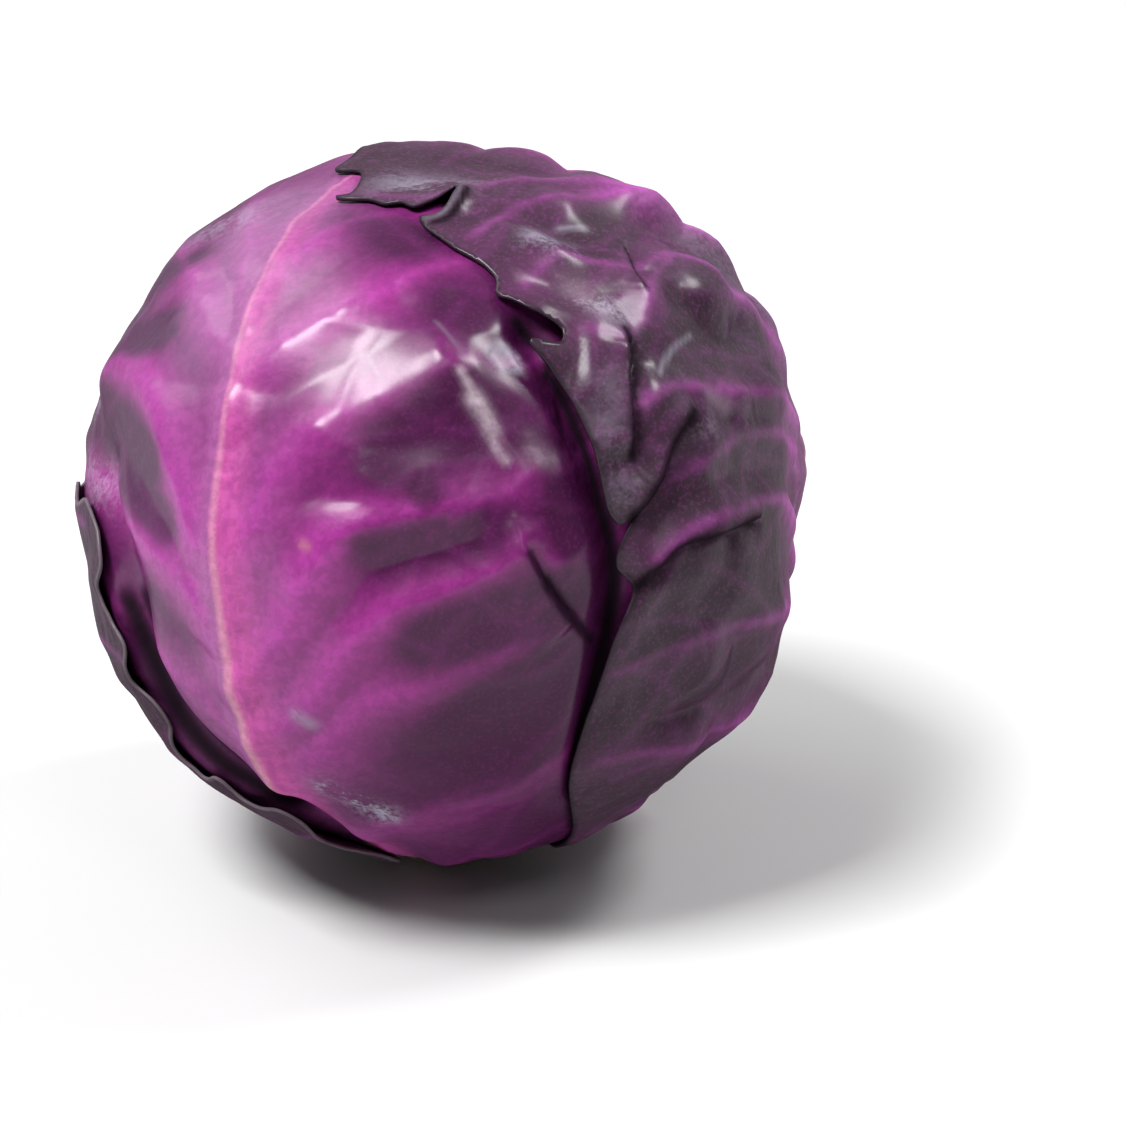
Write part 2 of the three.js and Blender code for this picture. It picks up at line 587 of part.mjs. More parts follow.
const group = new THREE.Group();
group.add(stemMesh(), head);

export default group;
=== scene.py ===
"""Baby red cabbage: leaves, heart, stem and stage, laid out as an add-on and run as a script."""
import math
from collections import namedtuple
from functools import reduce

import bpy
import numpy as np
from bpy.props import FloatProperty, FloatVectorProperty, IntProperty, PointerProperty
from bpy.types import Operator, Panel, PropertyGroup
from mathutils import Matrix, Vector


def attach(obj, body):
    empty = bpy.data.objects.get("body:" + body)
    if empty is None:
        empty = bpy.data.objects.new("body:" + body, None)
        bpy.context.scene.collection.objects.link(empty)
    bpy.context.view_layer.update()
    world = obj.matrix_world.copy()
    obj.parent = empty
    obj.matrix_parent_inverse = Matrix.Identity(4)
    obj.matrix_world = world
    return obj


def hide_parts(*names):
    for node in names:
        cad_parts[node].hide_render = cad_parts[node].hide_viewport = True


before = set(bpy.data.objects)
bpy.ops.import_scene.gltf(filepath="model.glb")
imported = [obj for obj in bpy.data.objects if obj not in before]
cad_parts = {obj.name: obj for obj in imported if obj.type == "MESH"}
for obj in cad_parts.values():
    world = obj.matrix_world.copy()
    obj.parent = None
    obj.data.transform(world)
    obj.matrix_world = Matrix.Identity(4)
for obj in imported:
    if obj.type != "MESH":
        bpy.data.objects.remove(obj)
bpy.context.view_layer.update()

bl_info = {
    "name": "Baby Red Cabbage",
    "version": (1, 0, 0),
    "blender": (4, 5, 0),
    "location": "3D View > Sidebar > Cabbage",
    "description": "Makes the leaves, the packed heart, the cut stem and the stage of a baby red cabbage",
    "category": "Object",
}

MM = 0.001
CENTRE_HEIGHT = 61.0 * MM

# The head. Millimetres, measured from its centre, with the names and values of the solid model
HEAD_RADIUS = 59.3
INNER_HEAD_DEPTH = 6.8
BLADE = 0.85
GAP = 0.5
SINK_WIDTH = 14
HIDE_START = 9
HIDE_END = 3
BEND_RATE = 0.02
SOFT_CONTACT = 0.3

# Ribs, bolder and with rounder crests than in the solid model. As shares of the height in the tables: their
# height at the foot, how much it swells and how soon that is over, and how much is lost by the tip
RIB_BOLDNESS = 1.5
CREST_ROUND = 1.5
RIB_START = 0.75
RIB_SWELL = 0.25
RIB_SWELL_PACE = 1.3
RIB_TAPER = 0.35

# The coloured crests of the ribs: width in millimetres, the rib height that is coloured in full, how the
# colour grows with the height, and how much of it is lost at the tip
LINE_WIDTH = 1.3
LINE_HEIGHT = 1.5
LINE_GROWTH = 0.8
LINE_FADE = 0.4

# Midribs: size at the foot and at the tip, how soon the tip's size is reached, and the flare at the stem
MIDRIB_FOOT = 1.15
MIDRIB_TIP = 0.35
MIDRIB_PACE = 1.15
MIDRIB_FLARE = 1.1
FLARE_REACH = 0.08

# Overlapping folds: how wide the rise is, the dip's depth and width as shares of the fold's, and how far
# along the fold has risen and begins to end
STEP_RUN = 0.6
DIP_DEPTH = 0.55
DIP_WIDTH = 0.35
STEP_RISEN = 0.2
STEP_ENDING = 0.85

# How many widths away from its line a rib, a round ridge and an overlapping fold are worked out
RIB_REACH = 6
ROUND_REACH = 3
STEP_REACH = 4

# A leaf's edge: how much of the thickness is lost there, and over what width
EDGE_THINNING = 0.4
EDGE_WIDTH = 2.5

# The head's own low, broad swellings: longitude, latitude, height, width
SWELLINGS = (
    (60, 45, 1.5, 24),
    (-62, 30, 1.0, 26),
    (80, 8, -2.6, 20),
    (-20, 82, -2.9, 24),
    (-75, -35, 1.0, 22),
    (-20, 15, 0.6, 24),
    (130, 20, 1.2, 26),
    (175, 50, 1.0, 24),
    (-150, 10, -0.8, 22),
    (-130, 55, 0.9, 24),
    (160, -30, 0.9, 24),
    (40, -35, 0.7, 24),
    (0, -90, -1.6, 30),
)

# The leaves, from the inside out. Places are longitude and latitude in degrees, seen from the head's centre:
# longitude 0 faces -Y, 90 faces +X and latitude 90 is the crown. A rib or a fold is its height, its width and
# its places, with a negative height for a crease. A step is an overlapping fold, raised on its line's right.
# A hollow is a long dip that also runs under the next leaf. A rim is how high the edge lifts, and how wide
# the lifted margin is.
LEAVES = (
    dict(
        name="leaf_back",
        slot="leaf_dark",
        centre=(192, 5),
        outline=(
            (190, -76), (158, -75), (134, -69), (122, -55), (114, -34), (110, -6), (114, 24), (126, 48),
            (148, 64), (182, 76), (228, 77), (262, 66), (272, 46), (275, 22), (275, -2), (272, -28),
            (264, -52), (248, -68), (222, -75),
        ),
        midrib=(1.9, 3.6, ((190, -76), (190, -45), (190, -10), (188, 25), (184, 48), (174, 66))),
        ribs=(
            (1.0, 4.2, ((190, -62), (214, -54), (244, -44), (258, -38))),
            (1.2, 4.4, ((190, -45), (208, -34), (232, -25), (262, -18))),
            (1.3, 4.6, ((190, -22), (204, -8), (224, 2), (246, 7), (266, 8))),
            (1.3, 4.6, ((189, 2), (202, 17), (220, 27), (240, 31), (265, 31))),
            (1.1, 4.2, ((188, 22), (199, 38), (216, 49), (240, 53), (262, 52))),
            (0.9, 4.0, ((185, 42), (196, 58), (218, 67), (244, 68))),
            (1.0, 4.2, ((190, -58), (170, -48), (142, -40))),
            (1.2, 4.4, ((190, -34), (178, -22), (160, -13), (130, -8))),
            (1.2, 4.4, ((189, -8), (178, 6), (160, 15), (130, 20))),
            (1.1, 4.2, ((188, 16), (178, 30), (160, 40), (135, 44))),
            (0.9, 4.0, ((186, 36), (172, 50), (155, 56))),
        ),
        folds=(
            (-1.0, 2.4, ((222, -12), (232, -8), (238, -10))),
            (0.9, 3.0, ((206, 8), (212, 4), (216, -2))),
        ),
        hollows=((-1.3, 9, ((246, -40), (248, -20), (246, 10), (240, 36), (228, 56))),),
        rim=(0, 10),
    ),
    dict(
        name="leaf_front",
        slot="leaf_magenta",
        centre=(-33, 6),
        outline=(
            (-20, -76), (12, -75), (36, -68), (46, -52), (48, -32), (49, -8), (50, 20), (48, 42),
            (40, 60), (20, 72), (-40, 83), (-125, 82), (-140, 68), (-131, 52), (-123, 36), (-119, 18),
            (-117, 2), (-115, -14), (-110, -34), (-100, -54), (-80, -69), (-52, -75),
        ),
        midrib=(
            1.7, 3.4,
            (
                (-20, -76), (-21, -60), (-22, -49), (-27.5, -40), (-29.5, -20), (-31, 0), (-34, 20),
                (-36, 33), (-40, 43), (-45, 51.5), (-50, 58.5), (-59, 64), (-70, 70), (-92, 75), (-125, 77),
            ),
        ),
        ribs=(
            (0.7, 4.2, ((-21, -62), (0, -56), (20, -46), (40, -32))),
            (0.8, 4.4, ((-24, -47), (-12, -38), (5, -30), (24, -22), (46, -14))),
            (
                0.9, 4.4,
                ((-29, -32), (-22, -24), (-16, -18), (-10, -11), (0, -6.5), (10, -2), (20, 1), (36, 6)),
            ),
            (
                1.2, 4.0,
                (
                    (-30, -20), (-20, -13), (-13, -3), (-5, 5), (5, 9), (10, 11), (13, 15), (18, 11),
                    (25, 11), (44, 16),
                ),
            ),
            (
                1.4, 4.2,
                (
                    (-30.5, -10), (-22, -1), (-18, 8), (-12, 16), (-5, 18), (5, 20), (15, 22.5), (24, 25),
                    (44, 32),
                ),
            ),
            (
                0.9, 5.5,
                (
                    (-31, 0), (-26, 18), (-22, 26), (-16, 32), (-5, 37), (4, 40), (14, 40.5), (28, 43),
                    (42, 50),
                ),
            ),
            (1.2, 5.0, ((-36, 33), (-28, 42), (-18, 49), (-10, 53), (0, 58), (10, 60), (26, 64))),
            (0.9, 4.2, ((-41, 45), (-41, 55), (-38, 67), (-32, 71), (-18, 73), (0, 73))),
            (0.8, 4.4, ((-40, 43), (-50, 50), (-60, 56), (-70, 58.5), (-90, 60), (-125, 58))),
            (1.0, 4.4, ((-37, 36), (-46, 41), (-56, 45), (-68, 47), (-84, 47), (-120, 44))),
            (
                1.4, 4.4,
                ((-34, 5), (-40, 16), (-45, 21), (-49, 26), (-60, 30.5), (-70, 30), (-80, 24), (-114, 18)),
            ),
            (1.3, 4.2, ((-30.5, -10), (-36, 1), (-45, 7.5), (-50, 8), (-60, 11.5), (-72, 11), (-108, 0))),
            (0.8, 4.0, ((-29.5, -25), (-35, -17), (-46, -10), (-50, -8), (-68, -6), (-100, -18))),
        ),
        folds=(
            (1.8, 2.2, ((12.5, 16.5), (14, 14), (15.5, 11))),
            (2.3, 3.2, ((2, 42), (6, 38), (9, 34), (12, 29), (15, 25))),
            (1.2, 2.6, ((-18, 30), (-13, 27), (-6, 21), (-3, 18))),
            (-0.9, 3.4, ((-14, 26), (-4, 29), (6, 32))),
            (-0.9, 3.4, ((-8, 11), (2, 13.5), (10, 17))),
            (-0.8, 3.4, ((-66, 20), (-58, 18), (-50, 15))),
            (0.7, 2.4, ((-84, 38), (-76, 43), (-66, 47))),
            (0.6, 2.4, ((-87, 54), (-78, 53), (-70, 50))),
            (-0.5, 1.8, ((-44.5, 52), (-38, 51.5), (-34, 51.5))),
        ),
        steps=((2.2, 4.5, ((13, 16), (13.9, 13.4), (15.3, 10.6), (17.4, 6.8), (19.7, 3.6), (21.8, 1.0))),),
        hollows=(
            (
                -2.6, 3.2,
                ((21, 45), (24.5, 36), (26.5, 27), (28.5, 16), (28.5, 5), (27, -6), (25.5, -18), (27, -30)),
            ),
            (-2.6, 12, ((38, 42), (40, 26), (42, 10), (40, -8))),
            (-3.0, 5.0, ((-66, 14), (-56, 4), (-53, -8), (-50, -20), (-42, -30), (-32, -38), (-24, -50))),
            (-2.2, 6, ((-90, 22), (-80, 18), (-72, 15))),
        ),
        rim=(0, 10),
    ),
    dict(
        name="leaf_right",
        slot="leaf_dark",
        centre=(100, 15),
        outline=(
            (102, -76), (132, -75), (154, -69), (163, -55), (168, -40), (171, -25), (173.5, -8), (172, 6),
            (175, 20), (172, 34), (173, 48), (181, 60), (206, 69), (240, 74), (259, 73), (268, 77.3),
            (303, 73.5), (298, 71), (304, 71.5), (318, 73.9), (331, 73.6), (338, 74.5), (349, 72.9),
            (357, 74.5), (373, 77.5), (380, 79.7), (374.5, 76.5), (369.5, 73.5), (364.5, 70.8), (358, 69.6),
            (353, 70), (357, 67), (362, 64.5), (367, 61.5), (371, 59.5), (374.5, 57.2), (376.3, 54.5),
            (375.3, 51.5), (378, 50.2), (381, 48), (384, 46.2), (386.5, 43.6), (385, 41.8), (379, 42.8),
            (382, 38.4), (384.3, 34), (385.5, 29), (386.5, 24), (387, 20), (387.8, 16.4), (389.6, 14.6),
            (391.6, 15.8), (388.8, 11.2), (388.6, 8.4), (390.6, 5.4), (388, 0), (386, -8), (384.5, -16),
            (383, -25), (385, -34), (389, -43), (394, -54), (406, -67), (431, -75),
        ),
        midrib=(
            2.0, 3.8,
            ((102, -76), (102, -50), (101, -20), (100, 8), (98, 30), (93, 50), (82, 66), (56, 78), (0, 83)),
        ),
        ribs=(
            (1.0, 4.4, ((102, -62), (80, -54), (58, -50), (36, -46))),
            (1.1, 4.4, ((102, -46), (84, -35), (64, -28), (44, -25), (27, -24))),
            (1.2, 4.4, ((101, -28), (82, -15), (62, -8), (42, -6), (28, -8))),
            (1.5, 3.2, ((101, -16), (90, -4), (75, 6), (60, 11), (50, 12.6), (40, 12.4), (34, 9))),
            (1.2, 4.0, ((100, 2), (85, 12), (70, 19), (55, 21.5), (45, 20.5), (37, 19.5))),
            (1.5, 3.8, ((100, 10), (90, 17), (78, 22), (66, 26.5), (55, 29.5), (45, 32), (35, 31))),
            (1.4, 4.0, ((99, 22), (90, 32), (80, 40), (70, 50), (54, 51), (46, 53.5), (36, 57), (23, 53))),
            (1.0, 3.6, ((68, 50), (55, 48), (45, 43), (38, 41), (30, 43))),
            (1.4, 4.4, ((98, 38), (89, 57), (80, 61.5), (60, 66.5), (40, 69), (28, 68), (13, 64))),
            (1.0, 4.0, ((90, 56), (70, 72), (30, 77), (-10, 76), (-45, 75))),
            (1.0, 4.2, ((101, -50), (122, -44), (145, -36), (164, -32))),
            (1.3, 4.4, ((101, -34), (120, -24), (145, -14), (170, -10))),
            (1.4, 4.4, ((101, -14), (118, -1), (142, 9), (170, 12))),
            (1.4, 4.4, ((100, 6), (116, 20), (140, 30), (170, 32))),
            (1.3, 4.4, ((98, 26), (114, 42), (138, 52), (168, 54))),
            (1.1, 4.2, ((94, 46), (112, 62), (145, 70), (195, 72))),
        ),
        folds=(
            (2.0, 3.6, ((31, 46), (29.5, 38), (29, 28), (29.4, 20))),
            (1.5, 2.6, ((38, 33), (36, 28), (33.5, 20))),
            (1.4, 4.0, ((28, 1), (38, 4), (50, 3))),
            (-1.2, 1.8, ((60, 55.5), (52, 48.5))),
            (-1.0, 3.6, ((70, 33), (60, 36), (50, 37))),
            (-0.9, 4.0, ((75, 56), (60, 59), (44, 61))),
            (0.9, 2.6, ((32, 62), (38, 58), (40, 50))),
            (2.4, 1.1, ((376.5, 76.4), (371.8, 73.9), (366.6, 70.9), (361.8, 69.5), (358, 69.3))),
            (-1.0, 4.0, ((130, 14), (145, 20), (158, 22))),
            (-0.9, 4.0, ((125, -14), (140, -6), (155, -2))),
        ),
        steps=(
            (2.5, 5.5, ((42, 40), (38.4, 39.5), (37, 37), (34.4, 33), (33.6, 30), (33, 27), (32.6, 23))),
            (
                2.4, 5.0,
                ((48, 28), (43.5, 26.5), (40.7, 24.7), (38.5, 22.5), (36, 19), (33, 16.5), (30.5, 14.8)),
            ),
            (2.8, 5.5, ((62, 8.4), (54, 9.4), (46, 10), (40.5, 10.2), (37, 9.4), (34, 7.4), (31, 5.2))),
            (0.9, 4.0, ((60, 57), (57.7, 54.3), (53.6, 50.9), (50, 46))),
        ),
        hollows=(),
        rim=(0.5, 7),
    ),
    dict(
        name="leaf_outer",
        slot="leaf_dark",
        centre=(-112, -32),
        outline=(
            (-120, -76), (-88, -76.5), (-54, -75), (-26, -70), (-14, -61), (-16, -55), (-23, -50.5),
            (-25.5, -46), (-27, -40), (-32, -37.5), (-37, -38.5), (-42, -38), (-46, -34), (-50, -35.5),
            (-54, -30), (-52.5, -25), (-54, -21), (-58, -18), (-55.8, -11), (-60, -8), (-62.3, -4),
            (-60, 1), (-61.5, 4), (-66, 7.5), (-71, 8), (-76, 5.5), (-81, 7), (-88, 4), (-95, 2),
            (-101, 5), (-110, 11), (-119, 9), (-127, 15), (-136, 13), (-143, 17), (-151, 11),
            (-156, 11), (-161, 1), (-166, -6), (-165, -18), (-169, -28), (-165, -40), (-167, -54),
            (-160, -68), (-148, -75),
        ),
        midrib=(2.2, 4.0, ((-120, -76), (-119, -55), (-118, -30), (-117, -5), (-117, 20))),
        ribs=(
            (1.0, 4.4, ((-120, -64), (-96, -62), (-66, -60), (-40, -54), (-26, -44))),
            (1.2, 4.4, ((-119, -52), (-100, -45), (-80, -41), (-62, -36), (-50, -32))),
            (1.3, 4.4, ((-118, -36), (-102, -25), (-84, -18), (-70, -16), (-58, -14))),
            (1.2, 4.2, ((-118, -18), (-104, -6), (-88, 1), (-70, 4))),
            (1.0, 4.0, ((-117, -2), (-106, 8), (-94, 14))),
            (1.1, 4.4, ((-119, -54), (-136, -46), (-160, -38))),
            (1.2, 4.4, ((-118, -36), (-134, -25), (-162, -14))),
            (1.2, 4.2, ((-118, -18), (-132, -6), (-156, 4))),
            (1.0, 4.0, ((-117, -2), (-128, 10), (-142, 16))),
        ),
        folds=(
            (-0.9, 3.6, ((-72, -28), (-64, -26), (-56, -22))),
            (1.0, 2.6, ((-64, -2), (-70, -6), (-78, -8))),
            (1.0, 2.6, ((-57, -15), (-64, -20), (-74, -24))),
            (-0.8, 3.2, ((-150, -2), (-142, 4), (-136, 12))),
        ),
        hollows=(),
        rim=(1.5, 9),
    ),
)

# How fine the lines are, how near the outline a grid point moves onto it, as a share of the grid's spacing,
# how far round a leaf its layer is worked out, and how many segments are compared at once
CURVE_STEP = 1.2
OUTLINE_STEP = 0.9
SNAP_SHARE = 0.3
CONTACT_REACH = 20
BATCH = 32

# Crumpling of each leaf: heights of its creased, its broad and its fine waves, in millimetres. After them
# each kind's cell size and the seed of its noise, how round a crease is and its mean height, the size of the
# noise's lattice, and the shift that keeps places on it positive
CRUMPLES = {
    "leaf_back": (0.8, 0.4, 0.15),
    "leaf_front": (1.1, 0.35, 0.14),
    "leaf_right": (2.6, 0.9, 0.45),
    "leaf_outer": (1.2, 0.5, 0.20),
}
CREASES = (13, 51)
BROAD_WAVES = (15, 11)
FINE_WAVES = (6, 31)
CREASE_ROUND = 0.05
CREASE_MEAN = 0.25
NOISE_SIZE = 32
NOISE_SHIFT = 100

Ridge = namedtuple("Ridge", "height width line")
Leaf = namedtuple("Leaf", "name slot centre edge midrib ribs folds steps hollows rim veins")


def direction(places):
    """Unit vectors for longitude and latitude places in degrees."""
    lon, lat = np.radians(np.asarray(places, float)).T
    return np.stack((np.cos(lat) * np.sin(lon), -np.cos(lat) * np.cos(lon), np.sin(lat)), axis=-1)


def normalised(vectors):
    return vectors / np.linalg.norm(vectors, axis=-1, keepdims=True)


def smoothstep(x, low, high):
    t = np.clip((x - low) / (high - low), 0, 1)
    return t * t * (3 - 2 * t)


def soft_max(a, b):
    return (a + b + np.hypot(a - b, SOFT_CONTACT)) / 2


def smooth_line(places, step, closed=False):
    """Directions about step millimetres apart on a centripetal Catmull-Rom curve through the places."""
    points = direction(places)
    if closed:
        ring = np.vstack((points[-1:], points, points[:2]))
    else:
        ring = np.vstack((2 * points[0] - points[1], points, 2 * points[-1] - points[-2]))
    found = []
    for p0, p1, p2, p3 in zip(ring, ring[1:], ring[2:], ring[3:]):
        d0, d1, d2 = (np.linalg.norm(b - a) ** 0.5 for a, b in ((p0, p1), (p1, p2), (p2, p3)))
        m1 = d1 * ((p1 - p0) / d0 - (p2 - p0) / (d0 + d1) + (p2 - p1) / d1)
        m2 = d1 * ((p2 - p1) / d1 - (p3 - p1) / (d1 + d2) + (p3 - p2) / d2)
        count = max(1, round(np.linalg.norm(p2 - p1) * HEAD_RADIUS / step))
        t = (np.arange(count) / count)[:, None]
        found.append(p1 + m1 * t + (3 * (p2 - p1) - 2 * m1 - m2) * t**2 + (2 * (p1 - p2) + m1 + m2) * t**3)
    if not closed:
        found.append(points[-1:])
    return normalised(np.vstack(found))


def nearest(points, line, closed=False):
    """Distance in millimetres to a line, how far along the line that is, 0 to 1, and the segment's number."""
    start = line if closed else line[:-1]
    end = np.roll(line, -1, 0) if closed else line[1:]
    span = end - start
    span_sq = np.einsum("ij,ij->i", span, span)
    best = np.full(len(points), np.inf)
    along = np.zeros(len(points))
    segment = np.zeros(len(points), int)
    for first in range(0, len(start), BATCH):
        part = slice(first, first + BATCH)
        across = points @ span[part].T - np.einsum("ij,ij->i", start[part], span[part])
        t = np.clip(across / span_sq[part], 0, 1)
        sq = 2 - 2 * points @ start[part].T - 2 * t * across + t * t * span_sq[part]
        pick = sq.argmin(axis=1)
        rows = np.arange(len(points))
        closer = sq[rows, pick] < best
        best[closer] = sq[rows, pick][closer]
        along[closer] = (first + pick + t[rows, pick])[closer]
        segment[closer] = (first + pick)[closer]
    return np.sqrt(np.maximum(best, 0)) * HEAD_RADIUS, along / len(start), segment


def near_line(points, line, reach):
    """Numbers of the points that may lie within reach millimetres of a line."""
    middle = normalised(line.mean(0))
    radius = np.linalg.norm(line - middle, axis=1).max() + reach / HEAD_RADIUS
    return np.flatnonzero(((points - middle) ** 2).sum(1) < radius**2)


def chart(centre):
    """A flat chart of the head round a place: a stereographic projection."""
    up = direction(centre)
    side = normalised(np.cross((0, 0, 1), up))
    rise = np.cross(up, side)

    def project(points):
        scale = 2 / (1 + points @ up)
        return np.stack((points @ side * scale, points @ rise * scale), axis=-1)

    return project


def inside_polygon(polygon, points):
    inside = np.zeros(len(points), bool)
    x, y = points.T
    for (ax, ay), (bx, by) in zip(polygon, np.roll(polygon, -1, 0)):
        if ay != by:
            crosses = (ay > y) != (by > y)
            inside ^= crosses & (x < (bx - ax) * (y - ay) / (by - ay) + ax)
    return inside


def edge_distance(leaf, points):
    """Distance to a leaf's edge in millimetres, positive inside the leaf."""
    distance, _, _ = nearest(points, leaf.edge, closed=True)
    project = chart(leaf.centre)
    return np.where(inside_polygon(project(leaf.edge), project(points)), distance, -distance)


def soft_noise(points, cell, seed):
    """Smooth noise from -1 to 1, with the given cell size in millimetres."""
    lattice = np.random.default_rng(seed).uniform(-1, 1, (NOISE_SIZE,) * 3)
    place = points * HEAD_RADIUS / cell + NOISE_SHIFT
    corner = np.floor(place).astype(int)
    t = place - corner
    t = t * t * t * (t * (6 * t - 15) + 10)
    total = np.zeros(len(points))
    for k in range(8):
        step = np.array((k & 1, k >> 1 & 1, k >> 2 & 1))
        weight = np.prod(np.where(step, t, 1 - t), axis=1)
        i, j, l = ((corner + step) % NOISE_SIZE).T
        total += weight * lattice[i, j, l]
    return total


def head_radius(points):
    radius = np.full(len(points), HEAD_RADIUS)
    for lon, lat, height, width in SWELLINGS:
        away = np.linalg.norm(points - direction((lon, lat)), axis=1) * HEAD_RADIUS
        radius += height * np.exp(-((away / width) ** 2))
    return radius


def ridge_heights(ridges, points):
    """Height that each ridge gives each point, with sides that curve up to the crest like a tent's, and
    how strongly the crest's colour shows there, from 0 to 1."""
    for height, width, line in ridges:
        found = np.zeros(len(points))
        crest = np.zeros(len(points))
        near = near_line(points, line, RIB_REACH * width)
        if len(near):
            distance, along, _ = nearest(points[near], line)
            from_crest = np.hypot(distance, CREST_ROUND) - CREST_ROUND
            swell = RIB_SWELL * np.sin(np.pi * np.minimum(1, along * RIB_SWELL_PACE))
            taper = RIB_START + swell - RIB_TAPER * along
            found[near] = height * taper * np.exp(-from_crest / width)
            strength = (abs(height) / LINE_HEIGHT) ** LINE_GROWTH * (1 - LINE_FADE * along)
            crest[near] = strength * np.exp(-((distance / LINE_WIDTH) ** 2))
        yield found, crest


def gaussian_heights(ridges, points):
    """Height that each ridge with a round section gives each point."""
    for height, width, line in ridges:
        found = np.zeros(len(points))
        near = near_line(points, line, ROUND_REACH * width)
        if len(near):
            distance, _, _ = nearest(points[near], line)
            found[near] = height * np.exp(-((distance / width) ** 2))
        yield found


def signed_offset(points, line):
    """Distance in millimetres to a line, positive on its right side, and how far along the line it is."""
    distance, along, segment = nearest(points, line)
    run = line[segment + 1] - line[segment]
    side = np.einsum("ij,ij->i", np.cross(run, points), points - line[segment])
    return np.where(side >= 0, distance, -distance), along


def step_heights(ridges, points):
    """Height beside each overlapping fold: raised on the line's right side, with a dip on its left side."""
    for height, width, line in ridges:
        found = np.zeros(len(points))
        near = near_line(points, line, STEP_REACH * width)
        if len(near):
            offset, along = signed_offset(points[near], line)
            ends = smoothstep(along, 0, STEP_RISEN) * (1 - smoothstep(along, STEP_ENDING, 1))
            raised = smoothstep(offset, -STEP_RUN, STEP_RUN)
            away = np.abs(offset)
            over = np.exp(-away / width)
            under = -DIP_DEPTH * np.exp(-away / (DIP_WIDTH * width))
            found[near] = height * ends * (raised * over + (1 - raised) * under)
        yield found


def midrib_height(midrib, distance, along):
    """The thick midrib narrows from a broad foot at the stem to a thin line at the tip."""
    size = MIDRIB_FOOT + (MIDRIB_TIP - MIDRIB_FOOT) * np.minimum(1, along * MIDRIB_PACE)
    spread = 0.5 + 0.5 * size + MIDRIB_FLARE * np.exp(-along / FLARE_REACH)
    return midrib.height * size * np.exp(-((distance / (midrib.width * spread)) ** 2))


# Finer veins, which leave each rib by turns to either side: lengths in millimetres and angles, each with
# how far it may be off
VEIN_SPACING = 7.5
SPACING_PLAY = 0.3
VEIN_STEP = 2.2
VEIN_STEPS = 8
STEPS_PLAY = 3
VEIN_ANGLE = math.radians(52)
ANGLE_PLAY = 0.25
VEIN_TURN = math.radians(4)
TURN_PLAY = 0.22
VEIN_HEIGHT = 0.10
VEIN_WIDTH = 0.9


def fine_veins(ribs, rng):
    """Thin veins that leave each rib at an angle and bend towards the way that the rib runs."""
    veins = []
    for rib in ribs:
        line = rib.line
        length = len(line) * CURVE_STEP
        for k in range(1, int(length / VEIN_SPACING)):
            place_along = (k + rng.uniform(-SPACING_PLAY, SPACING_PLAY)) * VEIN_SPACING
            at = min(len(line) - 2, round(place_along / CURVE_STEP))
            side = 1 if k % 2 else -1
            run = normalised(line[at + 1] - line[at])
            angle = side * (VEIN_ANGLE + rng.uniform(-ANGLE_PLAY, ANGLE_PLAY))
            heading = run * math.cos(angle) + np.cross(line[at], run) * math.sin(angle)
            place = line[at]
            track = [place]
            for _ in range(VEIN_STEPS + rng.integers(-STEPS_PLAY, STEPS_PLAY + 1)):
                turn = -side * VEIN_TURN + rng.uniform(-TURN_PLAY, TURN_PLAY)
                heading = heading * math.cos(turn) + np.cross(place, heading) * math.sin(turn)
                place = normalised(place + heading * VEIN_STEP / HEAD_RADIUS)
                heading = normalised(heading - place * (heading @ place))
                track.append(place)
            veins.append(Ridge(VEIN_HEIGHT, VEIN_WIDTH, np.array(track)))
    return veins


def shaped_leaf(row, seed):
    """A leaf's data with its lines traced."""
    def ridges(rows):
        return [Ridge(height, width, smooth_line(places, CURVE_STEP)) for height, width, places in rows]

    ribs = ridges(row["ribs"])
    return Leaf(
        row["name"], row["slot"], row["centre"], smooth_line(row["outline"], OUTLINE_STEP, closed=True),
        ridges([row["midrib"]])[0], ribs, ridges(row["folds"]), ridges(row.get("steps", ())),
        ridges(row["hollows"]), row["rim"], fine_veins(ribs, np.random.default_rng(seed)),
    )


Layer = namedtuple("Layer", "outer inner rib line vein midrib_offset midrib_along")


